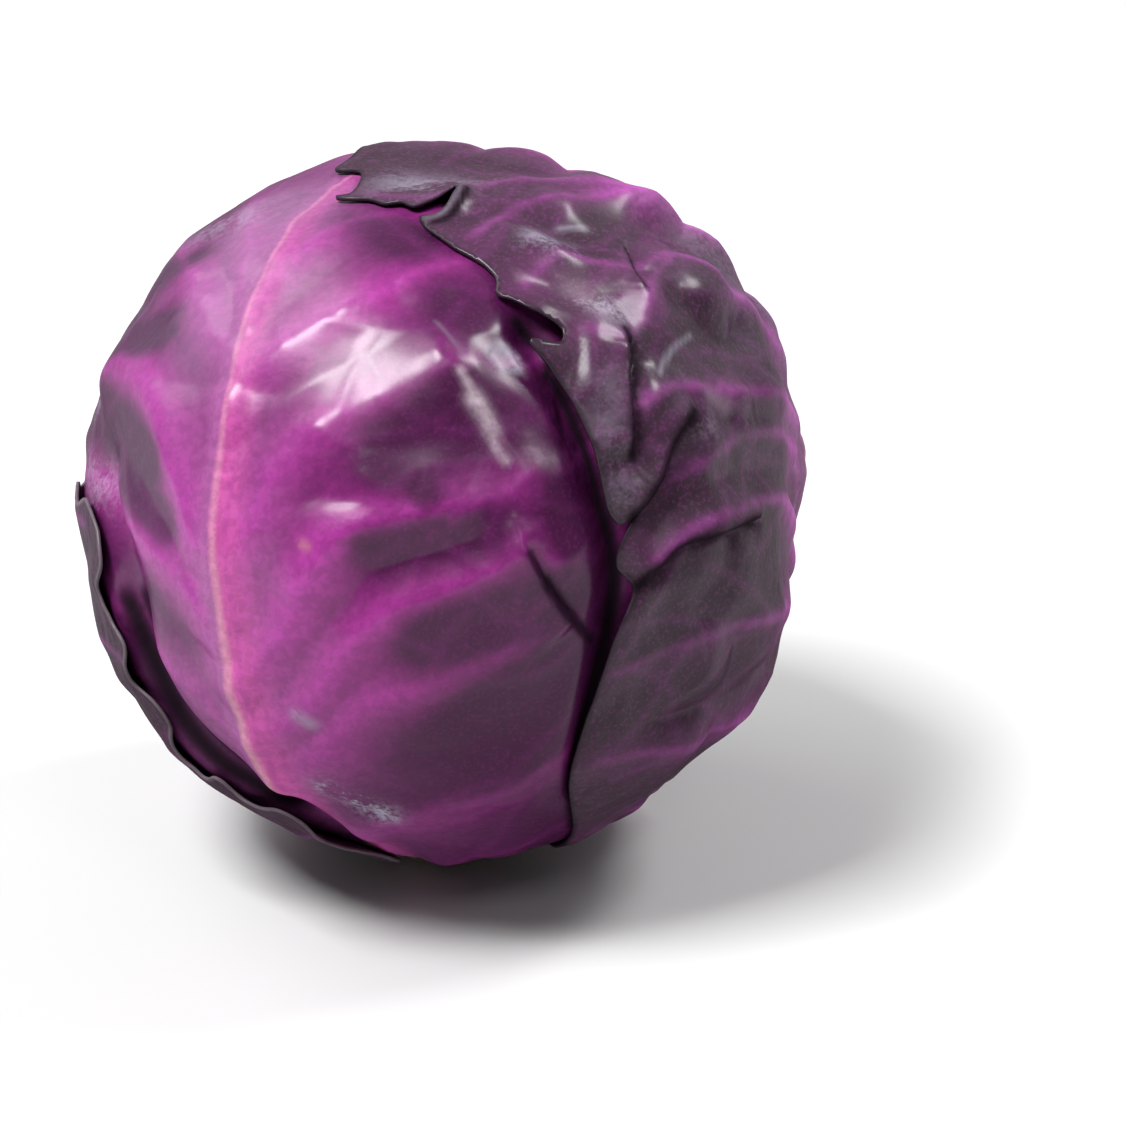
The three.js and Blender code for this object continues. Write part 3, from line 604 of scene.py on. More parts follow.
def leaf_layer(leaves, index, points, distances, floor):
    """Outer and inner radius of one leaf in the directions of the points, and what its finish needs.

    distances has each leaf's edge distance at the points, and floor is the radius of what lies below.
    """
    leaf = leaves[index]
    shown = np.ones(len(points))
    sunk = np.zeros(len(points))
    for cover in distances[index + 1:]:
        shown *= smoothstep(-cover, HIDE_END, HIDE_START)
        sunk += smoothstep(cover, 0, SINK_WIDTH)
    rib = np.zeros(len(points))
    line = np.zeros(len(points))
    for height, crest in ridge_heights(leaf.ribs, points):
        rib = np.maximum(rib, height)
        line = np.maximum(line, crest)
    fold = sum(height for height, _ in ridge_heights(leaf.folds, points))
    fold = fold + sum(step_heights(leaf.steps, points))
    hollow = sum(gaussian_heights(leaf.hollows, points))
    vein = np.zeros(len(points))
    for height in gaussian_heights(leaf.veins, points):
        vein = np.maximum(vein, height)
    offset, along = signed_offset(points, leaf.midrib.line)
    midrib = shown * midrib_height(leaf.midrib, offset, along)
    rim_height, rim_width = leaf.rim
    edge = distances[index]
    rim = rim_height * np.maximum(0, 1 - np.abs(edge) / rim_width) ** 2
    creases, broad, fine = (
        soft_noise(points, cell, seed + index) for cell, seed in (CREASES, BROAD_WAVES, FINE_WAVES)
    )
    heights = CRUMPLES[leaf.name]
    pucker = heights[0] * (np.hypot(creases, CREASE_ROUND) - CREASE_MEAN)
    pucker += heights[1] * broad + heights[2] * fine
    relief = shown * (RIB_BOLDNESS * rib + fold + vein + pucker) + midrib + rim + hollow
    outer = soft_max(head_radius(points) + relief - sunk * (BLADE + GAP), floor + BLADE)
    inner = np.maximum(floor, outer - BLADE - midrib)
    thinning = EDGE_THINNING * BLADE * (1 - smoothstep(edge, 0, EDGE_WIDTH))
    return Layer(outer - thinning, inner, rib, line, vein, offset, along)


def leaf_layers(leaves, points, distances, top):
    """The layers of the leaves up to number top, each worked out on the leaf and close round it."""
    floor = head_radius(points) - INNER_HEAD_DEPTH
    layers = []
    for index in range(top + 1):
        near = np.flatnonzero(distances[index] > -CONTACT_REACH)
        part = leaf_layer(leaves, index, points[near], distances[:, near], floor[near] + GAP)
        layer = Layer(*(np.zeros(len(points)) for _ in Layer._fields))
        for whole, values in zip(layer, part):
            whole[near] = values
        layers.append(layer)
        outside = np.maximum(0, -distances[index, near])
        floor[near] = np.maximum(floor[near], part.outer - BEND_RATE * outside**2)
    return layers


def edge_distances(leaves, points):
    return np.array([edge_distance(leaf, points) for leaf in leaves])


def sphere_grid(steps):
    """A ball of nearly even triangles: directions, and triangles as three point numbers."""
    golden = (1 + 5**0.5) / 2
    corners = normalised(np.array([
        (-1, golden, 0), (1, golden, 0), (-1, -golden, 0), (1, -golden, 0),
        (0, -1, golden), (0, 1, golden), (0, -1, -golden), (0, 1, -golden),
        (golden, 0, -1), (golden, 0, 1), (-golden, 0, -1), (-golden, 0, 1),
    ], float))
    faces = (
        (0, 11, 5), (0, 5, 1), (0, 1, 7), (0, 7, 10), (0, 10, 11), (1, 5, 9), (5, 11, 4), (11, 10, 2),
        (10, 7, 6), (7, 1, 8), (3, 9, 4), (3, 4, 2), (3, 2, 6), (3, 6, 8), (3, 8, 9), (4, 9, 5),
        (2, 4, 11), (6, 2, 10), (8, 6, 7), (9, 8, 1),
    )
    rows = [(i, j) for i in range(steps + 1) for j in range(steps + 1 - i)]
    number = {row: k for k, row in enumerate(rows)}
    share = np.array([(i, j, steps - i - j) for i, j in rows]) / steps
    cells = [
        (number[i, j], number[i + 1, j], number[i, j + 1])
        for i in range(steps) for j in range(steps - i)
    ] + [
        (number[i + 1, j], number[i + 1, j + 1], number[i, j + 1])
        for i in range(steps - 1) for j in range(steps - 1 - i)
    ]
    points = np.vstack([share @ corners[[b, c, a]] for a, b, c in faces])
    triangles = np.vstack([np.array(cells) + k * len(rows) for k in range(len(faces))])
    _, first, merged = np.unique(np.round(points, 6), axis=0, return_index=True, return_inverse=True)
    return normalised(points[first]), merged.reshape(-1)[triangles]


def clip_to_leaf(leaf, points, triangles, depth):
    """The part of the ball's grid that lies inside a leaf's outline, with new points on the outline."""
    spacing = np.sqrt(4 * math.pi * 2 / math.sqrt(3) / len(points)) * HEAD_RADIUS
    grid_count = len(points)
    points = points.copy()
    depth = depth.copy()
    close = np.flatnonzero(np.abs(depth) < SNAP_SHARE * spacing)
    _, along, segment = nearest(points[close], leaf.edge, closed=True)
    t = (along * len(leaf.edge) - segment)[:, None]
    after = leaf.edge[(segment + 1) % len(leaf.edge)]
    points[close] = normalised(leaf.edge[segment] * (1 - t) + after * t)
    depth[close] = 0
    state = np.sign(depth[triangles]).astype(int)
    whole = triangles[(state.min(1) >= 0) & (state.max(1) > 0)]
    cut = triangles[(state.min(1) < 0) & (state.max(1) > 0)]
    new_points = []
    numbers = {}

    def crossing(a, b):
        key = (min(a, b), max(a, b))
        if key not in numbers:
            t = depth[a] / (depth[a] - depth[b])
            numbers[key] = len(points) + len(new_points)
            new_points.append(points[a] * (1 - t) + points[b] * t)
        return numbers[key]

    pieces = []
    for triangle in cut.tolist():
        shape = []
        for a, b in zip(triangle, triangle[1:] + triangle[:1]):
            if depth[a] >= 0:
                shape.append(a)
            if depth[a] * depth[b] < 0:
                shape.append(crossing(a, b))
        pieces += [(shape[0], shape[k], shape[k + 1]) for k in range(1, len(shape) - 1)]
    triangles = np.vstack((whole, np.array(pieces)))
    points = np.vstack((points, normalised(np.array(new_points))))
    used, triangles = np.unique(triangles, return_inverse=True)
    fresh = used >= grid_count
    fresh[np.isin(used, close)] = True
    return points[used], triangles.reshape(-1, 3), used, fresh


def boundary_edges(triangles):
    """The open edges of a set of triangles, each in its triangle's direction."""
    edges = np.vstack([triangles[:, [k, (k + 1) % 3]] for k in range(3)])
    low = edges.min(1)
    high = edges.max(1)
    key = low * (triangles.max() + 1) + high
    _, first, count = np.unique(key, return_index=True, return_counts=True)
    return edges[first[count == 1]]


def mesh_object(name, vertices, triangles):
    """A smooth-shaded mesh object at the origin, from places in metres."""
    mesh = bpy.data.meshes.new(name)
    mesh.vertices.add(len(vertices))
    mesh.vertices.foreach_set("co", np.asarray(vertices, np.float32).ravel())
    mesh.loops.add(triangles.size)
    mesh.loops.foreach_set("vertex_index", triangles.astype(np.int32).ravel())
    mesh.polygons.add(len(triangles))
    mesh.polygons.foreach_set("loop_start", np.arange(0, triangles.size, 3, dtype=np.int32))
    mesh.polygons.foreach_set("loop_total", np.full(len(triangles), 3, np.int32))
    mesh.update(calc_edges=True)
    mesh.validate()
    mesh.polygons.foreach_set("use_smooth", np.ones(len(mesh.polygons), bool))
    piece = bpy.data.objects.new(name, mesh)
    bpy.context.scene.collection.objects.link(piece)
    return piece


def add_attribute(piece, name, values):
    attribute = piece.data.attributes.new(name, "FLOAT", "POINT")
    attribute.data.foreach_set("value", np.asarray(values, np.float32))


def declare(piece, node, slot):
    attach(piece, "root")
    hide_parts(node)


def from_centre(points, radii):
    """Places in metres for directions from the head's centre and radii in millimetres."""
    return points * radii[:, None] * MM + np.array((0, 0, CENTRE_HEIGHT))


class Tree:
    """A node tree, built one node at a time."""

    def __init__(self, tree):
        self.tree = tree

    def plug(self, socket, value):
        """Link a socket to another one, or else give it a plain value."""
        if isinstance(value, bpy.types.NodeSocket):
            self.tree.links.new(value, socket)
        elif socket.type == "RGBA":
            socket.default_value = (*value[:3], 1)
        else:
            socket.default_value = value

    def node(self, kind, settings=None, **values):
        """A node with its settings, and values for its sockets by name with spaces as underscores."""
        made = self.tree.nodes.new(kind)
        for name, value in (settings or {}).items():
            setattr(made, name, value)
        for name, value in values.items():
            self.plug(made.inputs[name.replace("_", " ")], value)
        return made

    def chain(self, kind, settings, *values):
        """A node with values for its first sockets, in their order."""
        made = self.node(kind, settings)
        for socket, value in zip(made.inputs, values):
            self.plug(socket, value)
        return made.outputs[0]

    def math(self, operation, *values):
        return self.chain("ShaderNodeMath", dict(operation=operation), *values)

    def times(self, *values):
        return reduce(lambda a, b: self.math("MULTIPLY", a, b), values)

    def plus(self, *values):
        return reduce(lambda a, b: self.math("ADD", a, b), values)

    def span(self, value, low, high, to_low=0.0, to_high=1.0):
        """A value taken smoothly from one range to another."""
        smooth = dict(interpolation_type="SMOOTHSTEP")
        return self.chain("ShaderNodeMapRange", smooth, value, low, high, to_low, to_high)

    def vector(self, x, y, z=0.0):
        return self.chain("ShaderNodeCombineXYZ", None, x, y, z)

    def split(self, vector):
        return tuple(self.node("ShaderNodeSeparateXYZ", Vector=vector).outputs)


class Finish(Tree):
    """A material's node tree, with a method for each kind of node that only the finishes use."""

    def __init__(self, name):
        self.material = bpy.data.materials.new(name)
        self.material.use_nodes = True
        super().__init__(self.material.node_tree)
        self.tree.nodes.clear()
        self.shader = self.node("ShaderNodeBsdfPrincipled")
        self.node("ShaderNodeOutputMaterial", Surface=self.shader.outputs["BSDF"])
        self.place = self.node("ShaderNodeTexCoord").outputs["Object"]

    def attribute(self, name):
        return self.node("ShaderNodeAttribute", dict(attribute_name=name)).outputs["Fac"]

    def noise(self, scale, detail=3, roughness=0.5, distortion=0):
        return self.node(
            "ShaderNodeTexNoise", Vector=self.place, Scale=scale, Detail=detail, Roughness=roughness,
            Distortion=distortion,
        ).outputs["Fac"]

    def mix(self, share, a, b):
        return self.node("ShaderNodeMix", dict(data_type="RGBA"), Factor=share, A=a, B=b).outputs["Result"]

    def over(self, colour, paint, *shares):
        """A colour with paint laid over it, as much as the product of the shares."""
        return self.mix(self.times(*shares), colour, paint)

    def cells(self, scale):
        """Distance to the borders of wavering cells, for the net of the finest veins."""
        noise = self.node("ShaderNodeTexNoise", Vector=self.place, Scale=scale / 2).outputs["Color"]
        reach = (NET_WAVER / scale,) * 3
        waver = self.chain("ShaderNodeVectorMath", dict(operation="MULTIPLY_ADD"), noise, reach, self.place)
        edges = dict(feature="DISTANCE_TO_EDGE")
        return self.node("ShaderNodeTexVoronoi", edges, Scale=scale, Vector=waver).outputs["Distance"]

    def facing(self):
        """0 where the surface is looked at squarely, 1 where it is looked along, for the gloss."""
        return self.node("ShaderNodeLayerWeight", Blend=0.5).outputs["Facing"]

    def wave_along(self, offset, spacing):
        """Fine streaks that run beside a line, spacing millimetres apart, from the distance to it."""
        wobble = self.times(self.noise(*STREAK_NOISE), STREAK_WAVER)
        turns = self.times(self.plus(offset, wobble), 2 * math.pi / spacing)
        return self.span(self.math("SINE", turns), *STREAK_CRESTS)

    def bump(self, height, relief, **normal):
        """Relief with its depth in metres and its strength, on top of the normal given."""
        depth, strength = relief
        bump = self.node("ShaderNodeBump", Height=height, Distance=depth, Strength=strength, **normal)
        return bump.outputs["Normal"]

    def shade(self, **values):
        """Values for the shader's own sockets, by name with spaces as underscores."""
        for name, value in values.items():
            self.plug(self.shader.inputs[name.replace("_", " ")], value)
        return self.material


# The noises of the leaves' finish: scale, detail, and roughness and distortion where they matter
MOTTLE = (34, 4, 0.6)
PATCHES = (70, 4, 0.6)
GRAIN = (1500, 2, 0.6)
SPECKLE = (620, 2, 0.7)
CRACKLE = (130, 4, 0.65)
PORES = (420, 3)
DIMPLES = (150, 3, 0.6)
WRINKLES = (75, 2, 0.55, 0.6)

# The net of the finest veins, and the streaks beside a midrib with their spacing in millimetres
NET_SCALE = 380
NET_WAVER = 0.8
STREAK_SPACING = 2.4
STREAK_WAVER = 1.6
STREAK_NOISE = (60, 3)

# Relief of the leaves' finish: depth in metres, and strength
GRAIN_RELIEF = (0.00012, 0.8)
NET_RELIEF = (0.0001, 0.25)
DIMPLE_RELIEF = (0.0006, 0.4)
WRINKLE_RELIEF = (0.0008, 0.3)

# Ranges of the leaves' finish: where a value starts and ends, and what it turns into unless that is 0 to 1.
# Distances from the midrib and the edge are in millimetres, and places along the midrib run from 0 to 1
AWAY = (12, 45, 0, 0.3)
NEAR_REACH = (0.25, 0.6, 34, 19)
NEAR_FULL = 3
NEAR_MOTTLE = (-0.25, 0.2, 0.6, 1)
LAMINA_START = -0.35
RIB_SIDES = (0.35, 1.35)
LINE_MOTTLE = (-0.2, 0.12, 0.2, 1.0)
FLANK_TURN = (-1.0, 1.0)
BAND_ALONG = (0.5, 0.95, 0.92, 0.45)
STREAK_CRESTS = (-0.2, 1.0)
CREST_WIDTH = (0.1, 0.8, 1.2, 0.5)
CREST_EDGE = (1.5, 0.0)
CREST_ALONG = (0.2, 0.8, 0.9, 0.35)
FOOT_ALONG = (0.13, 0.0)
GRAIN_PEAKS = (0.46, 0.74)
SPECKLE_DIPS = (0.60, 0.42)
FLECKS = (0.68, 0.92)
CRACKS = (0.42, 0.78, 0.45, 1.0)
MARGIN_REACH = (1.0, 0.1)
NET_LINES = (0, 0.3)
WRINKLE_LINES = (0, 0.16)
ROUGH_RIM = (0.4, 0.9, 0, 0.3)
WAX_RIM = (0.8, 0.4, 0.25, 1.0)
WAX_COVERED = (0.0, 0.8, 1.0, 0.05)
WAX_HEIGHT = (18 * MM, 75 * MM, 0.15, 1.0)

# How strongly dark marks and mottling change a rib's glow, grain changes dust and the painted highlights, and
# patches, marks and the duller panels with their painted shade change the roughness
GLOW_DARK = 0.9
GLOW_MOTTLE = 0.6
DUST_GRAIN = 0.3
PAINTED_HIGHLIGHT_GRAIN = 0.2
ROUGH_PATCHES = 0.22
ROUGH_COVERED = 0.4
ROUGH_DULL = 0.16
RELIEF_GRAIN = 0.4
RELIEF_PORES = 0.8

# How strongly each layer of colour covers the ones before it
DULL_AND_SHADE_SHARE = 0.7
STREAK_SHARE = 0.3
GRAIN_SHARE = 0.10
SPECKLE_SHARE = 0.18
PAINTED_SHEEN_SHARE = 0.6
SCAR_SHARE = 0.7
MARGIN_SHARE = 0.75
PAINTED_SHADOW_SHARE = 0.97

# The waxy coat
COAT_ROUGHNESS = 0.27
COAT_IOR = 1.4


def leaf_finish(name, tint, margin, looks):
    """Leaf: raised glowing veins, duller panels and painted shade, dusty bloom, painted gap shadow and
    highlights, fine grain.
    """
    f = Finish(name)
    dark = f.attribute("dark")
    dull_and_shade = f.math("MINIMUM", dark, 1.0)
    black = f.attribute("black")
    offset = f.attribute("midrib_offset")
    along = f.attribute("midrib_along")
    distance = f.math("ABSOLUTE", offset)
    mottle = f.math("SUBTRACT", f.noise(*MOTTLE), 0.5)
    patch = f.noise(*PATCHES)
    grain = f.noise(*GRAIN)
    speckle = f.noise(*SPECKLE)

    # The leaf, brighter on its ribs and towards the midrib
    glow = f.math("SUBTRACT", f.attribute("rib"), f.times(dark, GLOW_DARK))
    glow = f.math("SUBTRACT", f.plus(glow, f.times(mottle, GLOW_MOTTLE)), f.span(distance, *AWAY))
    colour = f.over(tint.panel, tint.lamina, f.span(glow, LAMINA_START, tint.lamina_reach))
    near = f.span(distance, f.span(along, *NEAR_REACH), NEAR_FULL)
    colour = f.over(colour, tint.flank_left, near, f.span(mottle, *NEAR_MOTTLE), tint.near_share)
    # Dark marks: duller leaf between the ribs, and painted shade on facets turned from the light and in
    # creases
    colour = f.over(colour, tint.panel, dull_and_shade, DULL_AND_SHADE_SHARE)
    line = f.math("POWER", f.attribute("line"), tint.line_power)
    colour = f.over(colour, tint.vein, f.span(glow, *RIB_SIDES), tint.glow_share)
    colour = f.over(colour, tint.vein, line, f.span(mottle, *LINE_MOTTLE), tint.vein_share)
    colour = f.over(colour, tint.vein, f.attribute("vein"), tint.fine_vein_share)

    # The midrib's flanks with their streaks, its pale crest and its pale foot
    band = f.attribute("midrib_band")
    flank = f.mix(f.span(offset, *FLANK_TURN), tint.flank_left, tint.flank_right)
    colour = f.over(colour, flank, band, f.span(along, *BAND_ALONG))
    colour = f.over(colour, tint.vein, f.wave_along(offset, STREAK_SPACING), band, STREAK_SHARE)
    crest = f.span(f.math("DIVIDE", distance, f.span(along, *CREST_WIDTH)), *CREST_EDGE)
    crest = f.times(crest, f.attribute("midrib_crest"))
    colour = f.over(colour, tint.crest, crest, f.span(along, *CREST_ALONG))
    colour = f.over(colour, looks.foot, f.span(along, *FOOT_ALONG), band)

    # Grain, dust and the painted marks, among them painted shade, painted shadow and painted highlights
    colour = f.over(colour, tint.vein, f.span(grain, *GRAIN_PEAKS), GRAIN_SHARE)
    colour = f.over(colour, tint.panel, f.span(speckle, *SPECKLE_DIPS), SPECKLE_SHARE)
    flecks = f.plus(patch, f.times(f.plus(grain, speckle), DUST_GRAIN))
    dust = f.math("MINIMUM", f.times(f.attribute("bloom"), f.span(flecks, *FLECKS)), 1.0)
    colour = f.over(colour, looks.bloom, dust)
    # Pale marks: painted highlights along raised folds and edges, and a painted pale sheen
    colour = f.over(colour, looks.bloom, f.attribute("pale"), PAINTED_SHEEN_SHARE)
    # Shine marks: painted highlights, a pale colour where the lights would glint, broken up by the crackle
    crackle = f.plus(f.noise(*CRACKLE), f.times(grain, PAINTED_HIGHLIGHT_GRAIN))
    colour = f.over(colour, looks.shine, f.attribute("shine"), f.span(crackle, *CRACKS))
    colour = f.over(colour, looks.scar, f.attribute("scar"), SCAR_SHARE)
    colour = f.over(colour, margin, f.span(f.attribute("edge"), *MARGIN_REACH), MARGIN_SHARE)
    # Black marks: painted shadow, a near-black colour in the deep gaps and creases where shade falls
    colour = f.over(colour, looks.shadow, black, PAINTED_SHADOW_SHARE)

    grains = f.plus(f.times(grain, RELIEF_GRAIN), f.times(f.noise(*PORES), RELIEF_PORES))
    normal = f.bump(grains, GRAIN_RELIEF)
    normal = f.bump(f.span(f.cells(NET_SCALE), *NET_LINES), NET_RELIEF, Normal=normal)
    normal = f.bump(f.noise(*DIMPLES), DIMPLE_RELIEF, Normal=normal)
    wrinkle = f.math("ABSOLUTE", f.math("SUBTRACT", f.noise(*WRINKLES), 0.5))
    normal = f.bump(f.span(wrinkle, *WRINKLE_LINES), WRINKLE_RELIEF, Normal=normal)

    # Roughness and wax, both duller on dust and in gaps
    cover = f.plus(dust, black)
    facing = f.facing()
    rough = f.plus(
        f.times(patch, ROUGH_PATCHES), looks.roughness - ROUGH_PATCHES / 2, f.times(cover, ROUGH_COVERED),
        f.times(dull_and_shade, ROUGH_DULL), f.span(facing, *ROUGH_RIM),
    )
    wax = f.times(
        f.span(facing, *WAX_RIM), tint.wax, f.span(cover, *WAX_COVERED),
        f.span(f.split(f.place)[2], *WAX_HEIGHT),
    )
    return f.shade(
        Base_Color=colour, Roughness=rough, Normal=normal, Specular_IOR_Level=looks.gloss,
        Coat_Weight=wax, Coat_Roughness=COAT_ROUGHNESS, Coat_IOR=COAT_IOR,
    )


# Marks painted on the leaves: amount, width in millimetres, and places in longitude and latitude. Dark marks
# are duller panels between ribs together with painted shade, black marks are painted shadow in the deep gaps
# and creases, bloom is dusty wax and in places a painted highlight too, pale marks are painted highlights
# along raised lines and a painted sheen, a scar is a healed wound, and shine marks are painted highlights.
MARKS = {
    "leaf_front": dict(
        # Painted shade as well as duller panels: facets turned from the light, creases, and the lower and
        # left sides
        dark=(
            (1.2, 5.0, ((-5, 27.5), (0, 31), (5, 33.5))),
            (1.1, 4.2, ((11, 35.5), (16, 34.5), (19, 32.5))),
            (0.9, 3.6, ((-8.5, 14), (-3.5, 15), (1.5, 16))),
            (0.8, 2.6, ((-5.5, 28), (-3, 24.5), (0, 21))),
            (0.7, 4.5, ((6, 16.5), (8, 17))),
            (0.9, 4.6, ((0, 0.5), (6.5, 2.5), (12.5, 4.5))),
            (1.3, 4.0, ((20, 34), (22, 26), (23, 18), (24, 10), (24, 0))),
            (0.9, 4.0, ((16, 5.5), (19, -1), (20, -8))),
            (0.6, 5.0, ((-2, -20), (5.5, -13), (13, -8.5))),
            (0.5, 6.0, ((-14, -34), (0, -28), (14, -20))),
            (1.4, 4.6, ((-80, 22), (-70, 21), (-58, 21), (-50, 20))),
            (1.2, 3.6, ((-56, 15), (-48.5, 13.5), (-44, 12))),
            (0.5, 3.8, ((-47.5, -1), (-43, -3), (-40, -5))),
            (1.2, 3.8, ((-78, 31), (-67, 35), (-62, 38))),
            (1.2, 3.4, ((-94, 38), (-80, 44), (-74, 48))),
            (1.3, 3.0, ((-104, 53), (-100, 48))),
            (0.7, 4.5, ((-38, 69), (-21.5, 67.5), (-7.5, 63.5))),
            (0.4, 4.5, ((2, 53), (8, 47.5), (14, 45))),
            (0.8, 16, ((-105, 40), (-104, 10))),
            (0.9, 14, ((30, -50), (0, -60))),
        ),
        # Painted shadow in the gaps beside the overlapping leaves and in the crease
        black=(
            (1.0, 1.2, ((19.4, 47.7), (22.6, 44.8), (25.5, 42.4), (23.6, 39.0))),
            (1.0, 1.0, ((24.6, 38.5), (25.8, 34), (27.0, 29), (28.0, 23), (28.4, 18))),
            (1.0, 1.5, ((28.4, 18), (29.4, 13), (29.6, 8), (29.4, 4), (27.9, -4), (26.4, -12))),
            (1.0, 1.3, ((26.4, -12), (24.9, -18), (24.2, -26), (25.8, -34), (29.4, -43))),
            (
                0.9, 2.4,
                ((-53.5, -3), (-50.5, -12), (-48.5, -19), (-46, -25), (-41, -31), (-34, -35), (-28, -41)),
            ),
            (
                1.0, 3.0,
                ((-57.5, -5), (-55, -12), (-53, -20), (-50, -27), (-45, -33), (-39, -37), (-33, -41)),
            ),
            (0.9, 0.7, ((14.1, 13.0), (15.4, 10.4), (17.6, 6.8), (19.9, 3.4))),
            (0.9, 1.1, ((16.6, 8.4), (19.9, 3.4), (22.4, 0.2), (24.6, -2.4))),
        ),
        bloom=(
            (1.9, 2.2, ((-18, -28.5), (-15, -30), (-11.5, -33), (-9, -34))),
            (0.6, 1.2, ((-20.2, -13), (-18.5, -14.6))),
            (
                0.7, 0.8,
                ((11.5, 41.5), (13, 43), (16, 43), (17.8, 41), (16.5, 39.5), (13, 39.5), (11.5, 41.5)),
            ),
            (0.6, 1.6, ((13.5, 41.3), (15.5, 41.3))),
            (0.5, 4.0, ((-84, 18), (-74, 10), (-66, 12))),
            (0.4, 5.0, ((-88, 52), (-80, 58))),
        ),
        # Painted sheen over the upper left, and painted highlights along raised ridges
        pale=(
            (0.10, 12, ((-100, 40), (-75, 42), (-62, 35), (-54, 20), (-48, 2), (-42, -18))),
            (0.30, 9, ((-75, 64), (-58, 52), (-49, 38))),
            (0.3, 0.4, ((1.2, 47.3), (3.8, 44.5), (6.2, 41.9))),
            (0.3, 0.3, ((-11.4, 40.9), (-8.5, 37.2))),
        ),
        scar=((1.0, 0.7, ((-18.4, 13.6), (-17.6, 13.4))),),
        # Painted highlights: pale patches where the lights would glint
        shine=(
            (0.14, 5.0, ((-33, 51.7), (-23.5, 50))),
            (0.16, 4.2, ((-17.5, 44.5), (-9.6, 41.8), (-5.1, 39.3))),
            (0.10, 6.5, ((-24, 43), (-12, 37))),
            (0.55, 0.7, ((5.6, 38.8), (7.4, 35.6))),
            (0.85, 1.2, ((7.6, 35), (9.4, 32.2), (10.3, 30.2))),
            (0.70, 0.8, ((10.3, 30.2), (10.9, 27.6), (12, 26))),
            (0.25, 1.8, ((16.2, 26.5), (19.4, 25.5))),
        ),
    ),
    "leaf_right": dict(
        # Painted shade as well as duller panels, beside the creases of the folds
        dark=(
            (0.7, 16, ((0, 84), (40, 76))),
            (0.8, 10, ((78, 30), (66, 20), (60, 0))),
            (0.9, 6, ((45, 58), (62, 60))),
            (0.8, 7, ((62, 48), (84, 44))),
            (0.9, 5, ((44, 37), (60, 36))),
            (1.0, 6, ((34, 0), (50, 4), (66, 2))),
            (1.3, 2.4, ((35, 21), (38, 25), (41, 28), (44, 29.5))),
            (1.1, 3.0, ((34, 4), (40, 7), (48, 6.5))),
            (0.8, 6, ((45, 15), (60, 16), (76, 12))),
            (0.6, 24, ((120, 40), (130, 0), (110, -40))),
        ),
        # Painted shadow in the creases of the folds and under the lip at the crown
        black=(
            (
                1.0, 1.0,
                ((39.2, 41.7), (38.2, 39.7), (37.2, 37), (34.6, 33), (33.8, 31), (33.2, 28), (32.7, 24)),
            ),
            (
                1.0, 1.3,
                ((46, 27.5), (43, 26.3), (40.7, 24.7), (38.9, 23), (36.7, 20), (34.1, 18), (31.5, 15.6)),
            ),
            (1.0, 1.2, ((31.2, 5.4), (34, 7.6), (37.4, 9.8), (41, 10.3), (46, 9.8), (52, 9.8), (58, 8.8))),
            (0.8, 0.8, ((57.7, 54.3), (53.6, 50.9), (51, 47.5))),
            (0.95, 0.6, ((18.5, 75.2), (14.2, 72.8), (8.6, 69.9), (3.6, 68.4), (-0.5, 68.0))),
        ),
        bloom=(
            (0.6, 2.6, ((33, 61), (38, 58))),
            (0.5, 6.0, ((-30, 82), (10, 82))),
            # These three bloom marks are also a painted highlight: they lie on lit places of the tongue and
            # its fold
            (0.8, 2.8, ((35, 50), (37.5, 47.3), (39, 45))),
            (0.2, 2.6, ((46, 26), (50, 25))),
            (0.15, 2.6, ((30, 34), (29.5, 26), (29.6, 19))),
            (0.3, 18, ((104, 40), (120, 10), (130, -20))),
            (0.3, 12, ((150, 50), (140, 30))),
        ),
        # Painted highlights along lit folds and along the lip at the crown
        pale=(
            (0.8, 0.5, ((45.2, 62.8), (53.1, 60.9))),
            (0.7, 0.5, ((57, 38.4), (48.4, 37.2), (42, 34.4))),
            (0.7, 0.7, ((15.5, 76.6), (11.4, 74.2), (6.2, 71.2), (1.8, 69.8), (-2, 69.6))),
        ),
        # Painted highlights: pale strokes where the lights would glint on the tongue and a fold
        shine=((0.25, 2.6, ((34.8, 50.6), (36.5, 46))), (0.2, 1.4, ((52, 29), (57, 27)))),
    ),
    "leaf_back": dict(
        dark=((0.7, 14, ((222, 20), (240, 0), (230, -30))), (0.8, 12, ((160, 10), (165, -20)))),
        bloom=((0.5, 16, ((210, 20), (190, 50))), (0.5, 14, ((165, -20), (180, -40)))),
    ),
    "leaf_outer": dict(
        dark=((0.8, 30, ((-150, -10), (-112, -20), (-70, -30))),),
        bloom=((0.3, 14, ((-112, 0), (-90, -10))), (0.5, 20, ((-150, -30), (-110, -40)))),
    ),
}


def painted(marks, points, power):
    """How much of the marks' amounts reaches each point. A higher power gives the marks a sharper edge."""
    total = np.zeros(len(points))
    for amount, width, places in marks:
        line = smooth_line(places, CURVE_STEP)
        near = near_line(points, line, ROUND_REACH * width)
        if len(near):
            distance, _, _ = nearest(points[near], line)
            total[near] = np.maximum(total[near], amount * np.exp(-((distance / width) ** power)))
    return total


# The kinds of marks, and how sharp their edges are. Dark marks carry painted shade besides duller panels,
# black marks painted shadow, and pale and shine marks painted highlights
MARK_KINDS = {"dark": 2, "black": 2.6, "bloom": 2, "pale": 2, "scar": 2, "shine": 2}


def colour(name, description, value):
    return FloatVectorProperty(
        name=name, description=description, subtype="COLOR", min=0, max=1, default=value,
    )


def share(name, description, value):
    return FloatProperty(
        name=name, description=description, default=value, min=0, max=1, subtype="FACTOR",
    )


def amount(name, description, value, high):
    return FloatProperty(name=name, description=description, default=value, min=0, max=high)


